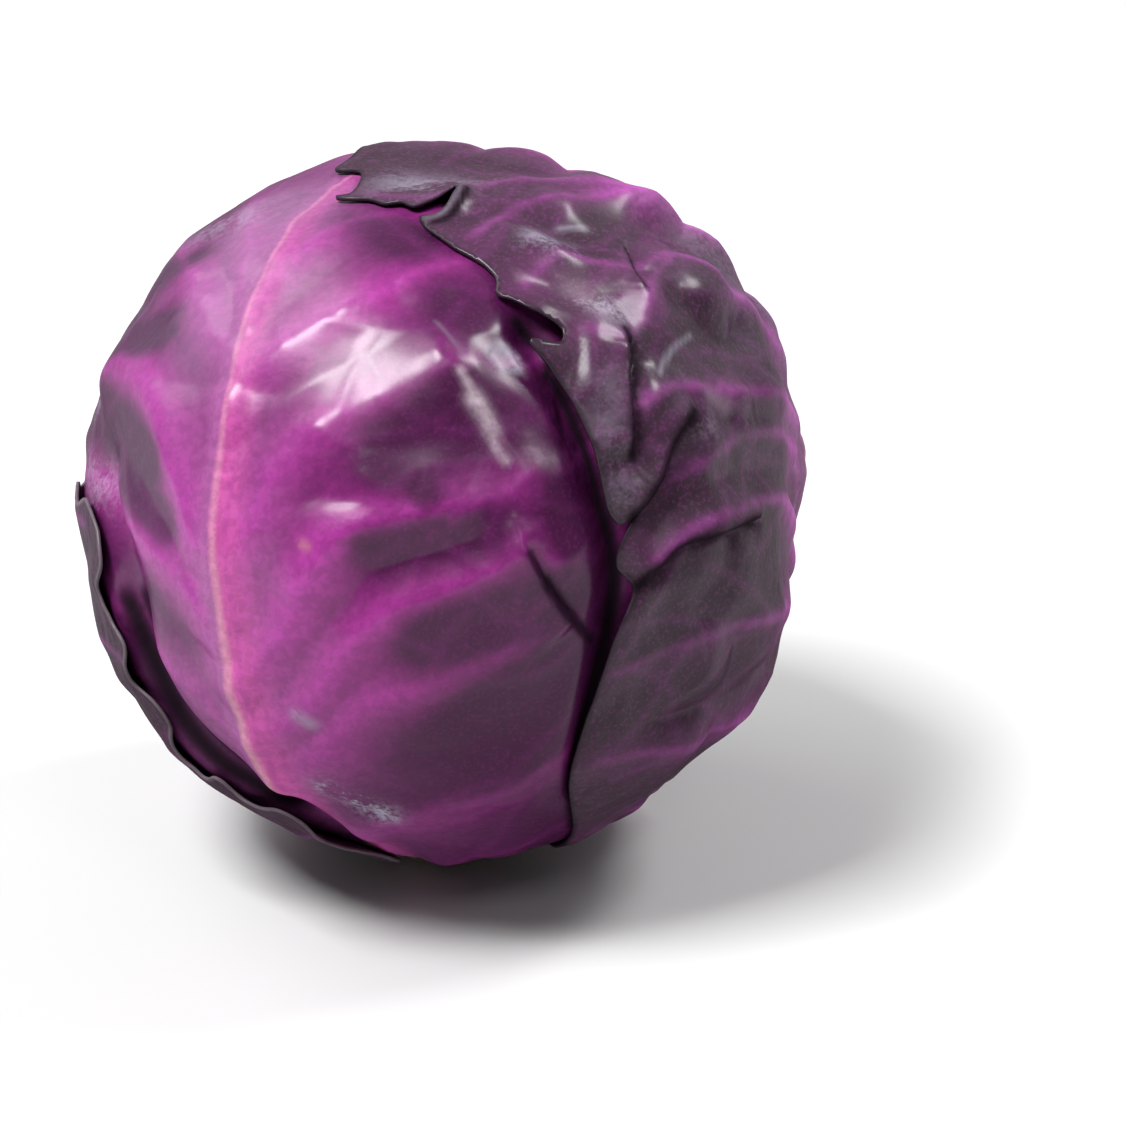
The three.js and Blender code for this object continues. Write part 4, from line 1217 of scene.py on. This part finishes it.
class CabbageSizes(PropertyGroup):
    """How fine the pieces are, and the stem's sizes."""

    grid_steps: IntProperty(
        name="Grid Steps", description="Steps along each side of the ball that the leaves are cut from",
        default=96, min=24, max=110,
    )
    heart_steps: IntProperty(
        name="Heart Grid Steps", description="The same for the packed leaves inside",
        default=40, min=12, max=90,
    )
    stem_sides: IntProperty(
        name="Stem Sides", description="Faces round the stem", default=120, min=24, max=360,
    )
    scar_count: IntProperty(
        name="Leaf Scars", description="Scars of fallen leaves on the stem", default=9, min=0, max=40,
    )
    scar_width: FloatProperty(
        name="Scar Width", description="Width of a leaf scar", default=0.0062, min=0, unit="LENGTH",
    )


class CabbageMagenta(PropertyGroup):
    """Colours of the magenta leaves."""

    panel: colour("Panel", "Dull leaf between the ribs", (0.046, 0.004, 0.037))
    lamina: colour("Leaf", "Leaf near the ribs", (0.300, 0.026, 0.220))
    vein: colour("Vein", "Side ribs", (0.330, 0.034, 0.262))
    flank_left: colour("Left Flank", "Leaf on the left side of the midrib", (0.310, 0.085, 0.260))
    flank_right: colour("Right Flank", "Leaf on the right side of the midrib", (0.500, 0.078, 0.310))
    crest: colour("Crest", "The midrib's pale crest", (0.600, 0.260, 0.350))
    margin: colour("Margin", "The leaf's very edge", (0.050, 0.010, 0.040))
    near_share: share("Near Share", "How strongly the leaf brightens towards the midrib", 0.5)
    lamina_reach: amount("Leaf Reach", "Rib height at which the leaf has its full colour", 1.15, 3.0)
    glow_share: share("Glow Share", "How strongly the sides of the ribs are coloured", 0.6)
    vein_share: share("Vein Share", "How strongly the crests of the ribs are coloured", 0.5)
    line_power: amount("Line Power", "How narrow the coloured crests are", 1.6, 5.0)
    fine_vein_share: share("Fine Vein Share", "How strongly the finest veins are coloured", 0.08)
    wax: share("Wax", "Weight of the waxy coat", 0.8)


class CabbageDark(PropertyGroup):
    """Colours of the dark outer leaves."""

    panel: colour("Panel", "Dull leaf between the ribs", (0.034, 0.017, 0.029))
    lamina: colour("Leaf", "Leaf near the ribs", (0.165, 0.036, 0.140))
    vein: colour("Vein", "Side ribs", (0.500, 0.085, 0.450))
    flank_left: colour("Left Flank", "Leaf on the left side of the midrib", (0.190, 0.060, 0.160))
    flank_right: colour("Right Flank", "Leaf on the right side of the midrib", (0.210, 0.060, 0.160))
    crest: colour("Crest", "The midrib's pale crest", (0.450, 0.170, 0.300))
    margin: colour("Margin", "The leaf's very edge", (0.016, 0.010, 0.016))
    near_share: share("Near Share", "How strongly the leaf brightens towards the midrib", 0.2)
    lamina_reach: amount("Leaf Reach", "Rib height at which the leaf has its full colour", 1.1, 3.0)
    glow_share: share("Glow Share", "How strongly the sides of the ribs are coloured", 0.45)
    vein_share: share("Vein Share", "How strongly the crests of the ribs are coloured", 0.85)
    line_power: amount("Line Power", "How narrow the coloured crests are", 2.2, 5.0)
    fine_vein_share: share("Fine Vein Share", "How strongly the finest veins are coloured", 0.06)
    wax: share("Wax", "Weight of the waxy coat", 0.55)


class CabbageLooks(PropertyGroup):
    """Colours and gloss that the leaves and the stem share."""

    magenta: PointerProperty(type=CabbageMagenta)
    dark: PointerProperty(type=CabbageDark)
    foot: colour("Rib Foot", "The midribs where they meet the stem", (0.62, 0.42, 0.44))
    bloom: colour("Bloom", "Dusty grey wax", (0.300, 0.280, 0.350))
    shadow: colour("Shadow", "The deepest gaps", (0.006, 0.003, 0.006))
    # A paler colour along the very edge of the outermost leaf
    pale_margin: colour("Pale Margin", "Edge of the outermost leaf", (0.150, 0.120, 0.140))
    scar: colour("Scar", "A small healed wound", (0.380, 0.140, 0.180))
    # The colour of the painted highlights, laid into the leaves' colour; it is not the wax itself
    shine: colour("Painted Highlight", "Where the wax is whole and lies thick", (0.500, 0.400, 0.460))
    heart: colour("Heart", "The packed inner leaves", (0.200, 0.050, 0.180))
    stem: colour("Stem", "Skin of the stem", (0.380, 0.360, 0.220))
    stem_cut: colour("Stem Cut", "The stem's cut face", (0.700, 0.620, 0.430))
    stem_ring: colour("Stem Ring", "The ring of vessels in the cut face", (0.430, 0.330, 0.170))
    roughness: share("Roughness", "Roughness of a clean leaf", 0.46)
    gloss: share("Gloss", "Specular level of the leaves", 0.06)


# Which of the two kinds each leaf is, how far along its midrib the pale crest shows, and its edge's colour
LEAF_LOOKS = {
    "leaf_back": ("dark", 0.9),
    "leaf_front": ("magenta", 1.4),
    "leaf_right": ("dark", 0.62),
    "leaf_outer": ("dark", 0.8),
}
PALE_MARGINS = ("leaf_outer",)

# The coloured band beside a midrib: half its width in millimetres at the foot and at the tip, how soon the
# tip's width is reached, each side's share of the width and the share with the full colour, and how far
# before its end the band begins to fade
BAND_FOOT = 9.0
BAND_TIP = 4.5
BAND_PACE = 0.75
BAND_LEFT = 0.85
BAND_RIGHT = 1.25
BAND_FULL = 0.1
BAND_FADE = 0.15


def midrib_shares(layer, crest_end):
    """How much of the coloured band beside the midrib, and of its pale crest, shows at each point."""
    fade = 1 - smoothstep(layer.midrib_along, crest_end - BAND_FADE, crest_end)
    width = BAND_FOOT + (BAND_TIP - BAND_FOOT) * np.minimum(1, layer.midrib_along / BAND_PACE)
    width = width * np.where(layer.midrib_offset > 0, BAND_RIGHT, BAND_LEFT)
    band = 1 - smoothstep(np.abs(layer.midrib_offset), BAND_FULL * width, width)
    return band * fade, fade


def leaf_surface(leaves, index, points, triangles, distances, layers):
    """One leaf's directions and triangles, with its layer and its edge distances at the directions."""
    place, faces, used, fresh = clip_to_leaf(leaves[index], points, triangles, distances[index])
    redone = leaf_layers(leaves, place[fresh], edge_distances(leaves, place[fresh]), index)[index]
    known = used[~fresh]
    edge = np.zeros(len(place))
    edge[~fresh] = distances[index, known]
    layer = Layer(*(np.zeros(len(place)) for _ in Layer._fields))
    for whole, old, new in zip(layer, layers[index], redone):
        whole[~fresh] = old[known]
        whole[fresh] = new
    return place, faces, layer, edge


def leaf_shell(name, place, faces, layer):
    """A leaf's outer and inner skin, joined by a wall round the rim."""
    count = len(place)
    rim = boundary_edges(faces)
    wall = np.vstack((
        np.stack((rim[:, 0], rim[:, 0] + count, rim[:, 1]), 1),
        np.stack((rim[:, 1], rim[:, 0] + count, rim[:, 1] + count), 1),
    ))
    skin = np.vstack((from_centre(place, layer.outer), from_centre(place, layer.inner)))
    return mesh_object(name, skin, np.vstack((faces, faces[:, ::-1] + count, wall)))


class CABBAGE_OT_leaves(Operator):
    """Make the four wrapper leaves"""

    bl_idname = "cabbage.leaves"
    bl_label = "Leaves"

    def execute(self, context):
        looks = context.scene.cabbage_looks
        leaves = [shaped_leaf(row, seed) for seed, row in enumerate(LEAVES)]
        points, triangles = sphere_grid(context.scene.cabbage_sizes.grid_steps)
        distances = edge_distances(leaves, points)
        layers = leaf_layers(leaves, points, distances, len(leaves) - 1)
        for index, leaf in enumerate(leaves):
            place, faces, layer, edge = leaf_surface(leaves, index, points, triangles, distances, layers)
            piece = leaf_shell(leaf.name + "_skin", place, faces, layer)
            kind, crest_end = LEAF_LOOKS[leaf.name]
            band, crest = midrib_shares(layer, crest_end)
            fields = dict(
                rib=layer.rib, line=layer.line, vein=layer.vein / VEIN_HEIGHT, edge=edge,
                midrib_offset=layer.midrib_offset, midrib_along=layer.midrib_along,
                midrib_band=band, midrib_crest=crest,
            )
            for mark, power in MARK_KINDS.items():
                fields[mark] = painted(MARKS[leaf.name].get(mark, ()), place, power)
            for field, values in fields.items():
                add_attribute(piece, field, np.concatenate((values, values)))
            tint = getattr(looks, kind)
            margin = looks.pale_margin if leaf.name in PALE_MARGINS else tint.margin
            piece.data.materials.append(leaf_finish(leaf.name + "_finish", tint, margin, looks))
            declare(piece, leaf.name, leaf.slot)
        return {"FINISHED"}


# The heart's shallow pleats: height in millimetres, pleats round it, and how far they turn on the way up
PLEAT_HEIGHT = 0.25
PLEAT_COUNT = 9
PLEAT_TWIST = 5

# The heart's finish: the heights in millimetres between which the pale bases set in, with how far that
# wavers, the noises with their scale and detail, the share of its dark patches, and its relief
BASE_HEIGHTS = (16, 6)
BASE_WAVER = 6
BASE_NOISE = (160, 3)
HEART_PATCHES = (60, 4)
HEART_PATCH_SHARE = 0.6
HEART_GRAIN = (240, 3)
HEART_RELIEF = (0.0004, 0.6)


def heart_finish(looks):
    """Packed inner leaves: dusky purple with pale bases towards the stem."""
    f = Finish("heart_finish")
    height = f.plus(f.times(f.split(f.place)[2], 1 / MM), f.times(f.noise(*BASE_NOISE), BASE_WAVER))
    colour = f.over(looks.heart, looks.magenta.panel, f.noise(*HEART_PATCHES), HEART_PATCH_SHARE)
    colour = f.over(colour, looks.foot, f.span(height, *BASE_HEIGHTS))
    normal = f.bump(f.noise(*HEART_GRAIN), HEART_RELIEF)
    return f.shade(Base_Color=colour, Roughness=0.45, Normal=normal, Specular_IOR_Level=0.2)


class CABBAGE_OT_heart(Operator):
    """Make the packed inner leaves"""

    bl_idname = "cabbage.heart"
    bl_label = "Heart"

    def execute(self, context):
        points, triangles = sphere_grid(context.scene.cabbage_sizes.heart_steps)
        x, y, z = points.T
        pleats = np.sin(PLEAT_COUNT * np.arctan2(x, -y) + PLEAT_TWIST * z) * (1 - z**2) - 1
        radii = head_radius(points) - INNER_HEAD_DEPTH + PLEAT_HEIGHT * pleats
        piece = mesh_object("heart_skin", from_centre(points, radii), triangles)
        piece.data.materials.append(heart_finish(context.scene.cabbage_looks))
        declare(piece, "inner_head", "inner_leaves")
        return {"FINISHED"}


# The stem. Millimetres, with the names and values of the solid model
STEM_RADIUS = 12.4
STEM_EDGE_ROUND = 0.9

# The stem's rings: radii on the cut face, steps round its edge and up its side, its narrowing towards the
# heart, the ring inside its top, and the radius inside which no ring wavers
CUT_RINGS = (0, 4, 8, 10)
EDGE_STEPS = 4
SIDE_STEPS = 10
SHOULDER = 0.94
TOP_RING = 0.6
EVEN_RADIUS = 9

# How the stem's outline wavers: depth as a share of the radius, waves round it, and turn with each millimetre
WAVERS = ((0.02, 5, 0.4), (0.012, 13, -1))

# The stem's cut face in millimetres from its middle: the ring of vessels and the browned rim, each with its
# soft edges, and the height in metres over which the face turns into the skin
VESSELS = ((7.6, 8.6), (10.4, 9.4))
BROWNED = (12.0, 12.9)
FACE_EDGE = (0.0004, 0.0012)

# The rest of the stem's finish: how far its rings waver, in millimetres, with that noise, its fibres with
# their relief, and the leaf colour on its skin
RING_WAVER = 1.2
RING_NOISE = (320, 3)
FIBRE = (900, 3, 0.7)
FIBRE_LINES = (0.3, 0.7)
FIBRE_RELIEF = (0.0003, 0.7)
SKIN_PATCHES = (140, 4)
SKIN_PATCH_SHARE = 0.7


def stem_finish(looks):
    """Pale cut stem: fibrous skin, a browned rim, a ring of vessels and a spongy middle."""
    f = Finish("stem_finish")
    x, y, z = f.split(f.place)
    across = f.times(f.math("SQRT", f.plus(f.times(x, x), f.times(y, y))), 1 / MM)
    wobble = f.plus(across, f.times(f.noise(*RING_NOISE), RING_WAVER))
    fibre = f.noise(*FIBRE)
    ring = f.times(*(f.span(wobble, *edge) for edge in VESSELS))
    cut = f.over(looks.stem_cut, looks.stem_ring, ring, f.span(fibre, *FIBRE_LINES))
    cut = f.over(cut, looks.stem_ring, f.span(wobble, *BROWNED))
    skin = f.over(looks.stem, looks.magenta.flank_left, f.noise(*SKIN_PATCHES), SKIN_PATCH_SHARE)
    colour = f.over(cut, skin, f.span(z, *FACE_EDGE))
    normal = f.bump(fibre, FIBRE_RELIEF)
    return f.shade(Base_Color=colour, Roughness=0.7, Normal=normal, Specular_IOR_Level=0.35)


def stem_mesh(sides):
    """The stem's skin as a lathed stub whose outline wavers a little, with a dished top under the heart."""
    south = np.array(((0.0, 0.0, -1.0),))
    dish = head_radius(south)[0] - INNER_HEAD_DEPTH + GAP

    def top(radius):
        return CENTRE_HEIGHT / MM - math.sqrt(dish**2 - radius**2)

    shoulder = SHOULDER * STEM_RADIUS
    flat = STEM_RADIUS - STEM_EDGE_ROUND
    levels = [(radius, 0) for radius in (*CUT_RINGS, flat)]
    for step in range(1, EDGE_STEPS + 1):
        turn = math.pi / 2 * step / EDGE_STEPS
        levels.append((flat + STEM_EDGE_ROUND * math.sin(turn), STEM_EDGE_ROUND * (1 - math.cos(turn))))
    rise = top(shoulder) - STEM_EDGE_ROUND
    for step in range(1, SIDE_STEPS + 1):
        up = step / SIDE_STEPS
        levels.append((STEM_RADIUS - (STEM_RADIUS - shoulder) * up, STEM_EDGE_ROUND + rise * up))
    levels += [(radius, top(radius)) for radius in (TOP_RING * STEM_RADIUS, 0)]
    turns = np.arange(sides) / sides * 2 * math.pi
    vertices = [(0, 0, 0)]
    for radius, height in levels[1:-1]:
        waver = np.ones(sides)
        if radius > EVEN_RADIUS:
            for depth, waves, twist in WAVERS:
                waver -= depth * (1 + np.sin(waves * turns + twist * height))
        reach = radius * waver
        ring = np.stack((reach * np.cos(turns), reach * np.sin(turns), np.full(sides, height)), 1)
        vertices += ring.tolist()
    vertices.append((0, 0, levels[-1][1]))
    rings = len(levels) - 2
    faces = []
    for side in range(sides):
        after = (side + 1) % sides
        faces.append((0, 1 + after, 1 + side))
        for ring in range(rings - 1):
            low = 1 + ring * sides
            high = low + sides
            faces += [(low + side, low + after, high + after), (low + side, high + after, high + side)]
        last = 1 + (rings - 1) * sides
        faces.append((last + side, last + after, len(vertices) - 1))
    return mesh_object("stem_skin", np.array(vertices) * MM, np.array(faces))


class Shaper(Tree):
    """A geometry node tree with named inputs."""

    def __init__(self, name):
        super().__init__(bpy.data.node_groups.new(name, "GeometryNodeTree"))
        for way in ("INPUT", "OUTPUT"):
            self.tree.interface.new_socket("Geometry", in_out=way, socket_type="NodeSocketGeometry")
        self.source = self.node("NodeGroupInput")
        self.result = self.node("NodeGroupOutput")
        self.values = {}

    def input(self, name, kind, value):
        socket = self.tree.interface.new_socket(name, in_out="INPUT", socket_type=kind)
        self.values[socket.identifier] = value
        return self.source.outputs[name]

    def run(self, piece):
        """Put the tree on a piece, keep what it makes as a plain mesh, and take the modifier off again."""
        modifier = piece.modifiers.new(self.tree.name, "NODES")
        modifier.node_group = self.tree
        for identifier, value in self.values.items():
            modifier[identifier] = value
        graph = bpy.context.evaluated_depsgraph_get()
        mesh = bpy.data.meshes.new_from_object(piece.evaluated_get(graph))
        piece.modifiers.remove(modifier)
        piece.data = mesh


# Leaf scars: the height of the first and how much higher each next one sits, in millimetres, how far out
# they sit as a share of the stem's radius, their half thickness, width and height as shares of the scar's
# width, and the turn from each to the next
SCAR_START = 2.0
SCAR_RISE = 0.42
SCAR_RING = 0.95
SCAR_SHAPE = (0.07, 0.5, 0.17)
GOLDEN_ANGLE = math.pi * (3 - math.sqrt(5))


def scar_nodes(sizes, material):
    """Leaf scars set round the stem, each a golden angle on from the last and a little higher."""
    g = Shaper("leaf_scars")
    count = g.input("Count", "NodeSocketInt", sizes.scar_count)
    radius = g.input("Radius", "NodeSocketFloat", SCAR_RING * STEM_RADIUS * MM)
    start = g.input("Start", "NodeSocketFloat", SCAR_START * MM)
    rise = g.input("Rise", "NodeSocketFloat", SCAR_RISE * MM)
    width = g.input("Width", "NodeSocketFloat", sizes.scar_width)
    index = g.node("GeometryNodeInputIndex").outputs[0]
    angle = g.times(index, GOLDEN_ANGLE)
    east = g.math("COSINE", angle)
    north = g.math("SINE", angle)
    place = g.vector(g.times(east, radius), g.times(north, radius), g.plus(start, g.times(index, rise)))
    points = g.node("GeometryNodePoints", Count=count, Position=place).outputs[0]
    outward = g.vector(east, north)
    turn = g.node("FunctionNodeAlignRotationToVector", dict(axis="X"), Vector=outward).outputs[0]
    scale = g.vector(*(g.times(width, part) for part in SCAR_SHAPE))
    ball = g.node("GeometryNodeMeshIcoSphere", Radius=1.0, Subdivisions=4).outputs["Mesh"]
    scars = g.node("GeometryNodeInstanceOnPoints", Points=points, Instance=ball, Rotation=turn, Scale=scale)
    both = g.node("GeometryNodeJoinGeometry", Geometry=scars.outputs[0])
    g.plug(both.inputs[0], g.source.outputs["Geometry"])
    whole = g.node("GeometryNodeRealizeInstances", Geometry=both.outputs[0]).outputs[0]
    smooth = g.node("GeometryNodeSetShadeSmooth", Geometry=whole).outputs[0]
    shaped = g.node("GeometryNodeSetMaterial", Geometry=smooth, Material=material).outputs[0]
    g.plug(g.result.inputs[0], shaped)
    return g


class CABBAGE_OT_stem(Operator):
    """Make the cut stem with its leaf scars"""

    bl_idname = "cabbage.stem"
    bl_label = "Stem"

    def execute(self, context):
        sizes = context.scene.cabbage_sizes
        piece = stem_mesh(sizes.stem_sides)
        scar_nodes(sizes, stem_finish(context.scene.cabbage_looks)).run(piece)
        declare(piece, "stem_stump", "stem")
        return {"FINISHED"}


# Soft boxes: name, direction from the head, distance and width in metres, and radiance
SOFT_LIGHTS = (
    ("key_light", (-0.42, -0.34, 0.84), 2.5, 0.85, 38.0),
    ("front_light", (0.30, -0.64, 0.71), 2.5, 0.6, 4.0),
    ("back_light", (-0.55, 0.25, 0.80), 2.5, 1.4, 3.0),
    ("rim_light", (0.60, 0.20, 0.78), 2.5, 0.65, 28.0),
)
WALL_LIGHT = 0.8
FRONT_LIGHT = 0.06
CEILING_LIGHT = 0.20

# Directions between which the front turns into the wall, and the wall into the ceiling
WALL_TURN = (0.1, 0.85)
CEILING_TURN = (0.25, 0.75)

# The paper floor, and the camera with its lens and its sensor in millimetres
FLOOR_HALF = 3.0
PAPER = (0.62, 0.62, 0.62)
LENS = 100
SENSOR = 36
CAMERA_PLACE = (0.019826, -0.491354, 0.239949)
CAMERA_TILT = math.radians(68.94)


def studio_world():
    """A white wall behind and beside the head, with the room dim in front and overhead."""
    world = bpy.data.worlds.new("studio")
    world.use_nodes = True
    room = Tree(world.node_tree)
    _, y, z = room.split(room.node("ShaderNodeTexCoord").outputs["Generated"])
    wall = room.span(y, *WALL_TURN, FRONT_LIGHT, WALL_LIGHT)
    background = room.tree.nodes["Background"]
    background.inputs["Color"].default_value = (1, 1, 1, 1)
    room.plug(background.inputs["Strength"], room.span(z, *CEILING_TURN, wall, CEILING_LIGHT))
    return world


class CABBAGE_OT_stage(Operator):
    """Make the floor, the soft lights and the camera"""

    bl_idname = "cabbage.stage"
    bl_label = "Stage"

    def execute(self, context):
        scene = context.scene
        mesh = bpy.data.meshes.new("floor")
        corners = [(x * FLOOR_HALF, y * FLOOR_HALF, 0) for x, y in ((-1, -1), (1, -1), (1, 1), (-1, 1))]
        mesh.from_pydata(corners, [], [(0, 1, 2, 3)])
        floor = bpy.data.objects.new("floor", mesh)
        scene.collection.objects.link(floor)
        paper = Finish("floor_paper")
        mesh.materials.append(paper.shade(Base_Color=PAPER, Roughness=0.9, Specular_IOR_Level=0.1))
        scene.world = studio_world()
        scene.view_settings.view_transform = "Standard"
        target = Vector((0, 0, CENTRE_HEIGHT))
        for name, heading, distance, size, radiance in SOFT_LIGHTS:
            data = bpy.data.lights.new(name, "AREA")
            data.shape = "SQUARE"
            data.size = size
            data.energy = radiance * math.pi * size**2
            lamp = bpy.data.objects.new(name, data)
            lamp.location = target + Vector(heading).normalized() * distance
            lamp.rotation_euler = (target - lamp.location).to_track_quat("-Z", "Y").to_euler()
            scene.collection.objects.link(lamp)
        data = bpy.data.cameras.new("camera")
        data.lens = LENS
        data.sensor_width = SENSOR
        camera = bpy.data.objects.new("camera", data)
        camera.location = CAMERA_PLACE
        camera.rotation_euler = (CAMERA_TILT, 0, 0)
        scene.collection.objects.link(camera)
        scene.camera = camera
        return {"FINISHED"}


class CABBAGE_PT_sidebar(Panel):
    """The cabbage's steps"""

    bl_label = "Cabbage"
    bl_space_type = "VIEW_3D"
    bl_region_type = "UI"
    bl_category = "Cabbage"

    def draw(self, context):
        for step in STEPS:
            self.layout.operator(step.bl_idname)


STEPS = (CABBAGE_OT_leaves, CABBAGE_OT_heart, CABBAGE_OT_stem, CABBAGE_OT_stage)
CLASSES = (CabbageSizes, CabbageMagenta, CabbageDark, CabbageLooks, *STEPS, CABBAGE_PT_sidebar)


def register():
    for item in CLASSES:
        bpy.utils.register_class(item)
    bpy.types.Scene.cabbage_sizes = PointerProperty(type=CabbageSizes)
    bpy.types.Scene.cabbage_looks = PointerProperty(type=CabbageLooks)


def unregister():
    del bpy.types.Scene.cabbage_looks
    del bpy.types.Scene.cabbage_sizes
    for item in reversed(CLASSES):
        bpy.utils.unregister_class(item)


def main():
    register()
    bpy.ops.cabbage.leaves()
    bpy.ops.cabbage.heart()
    bpy.ops.cabbage.stem()
    bpy.ops.cabbage.stage()


if __name__ == "__main__":
    main()
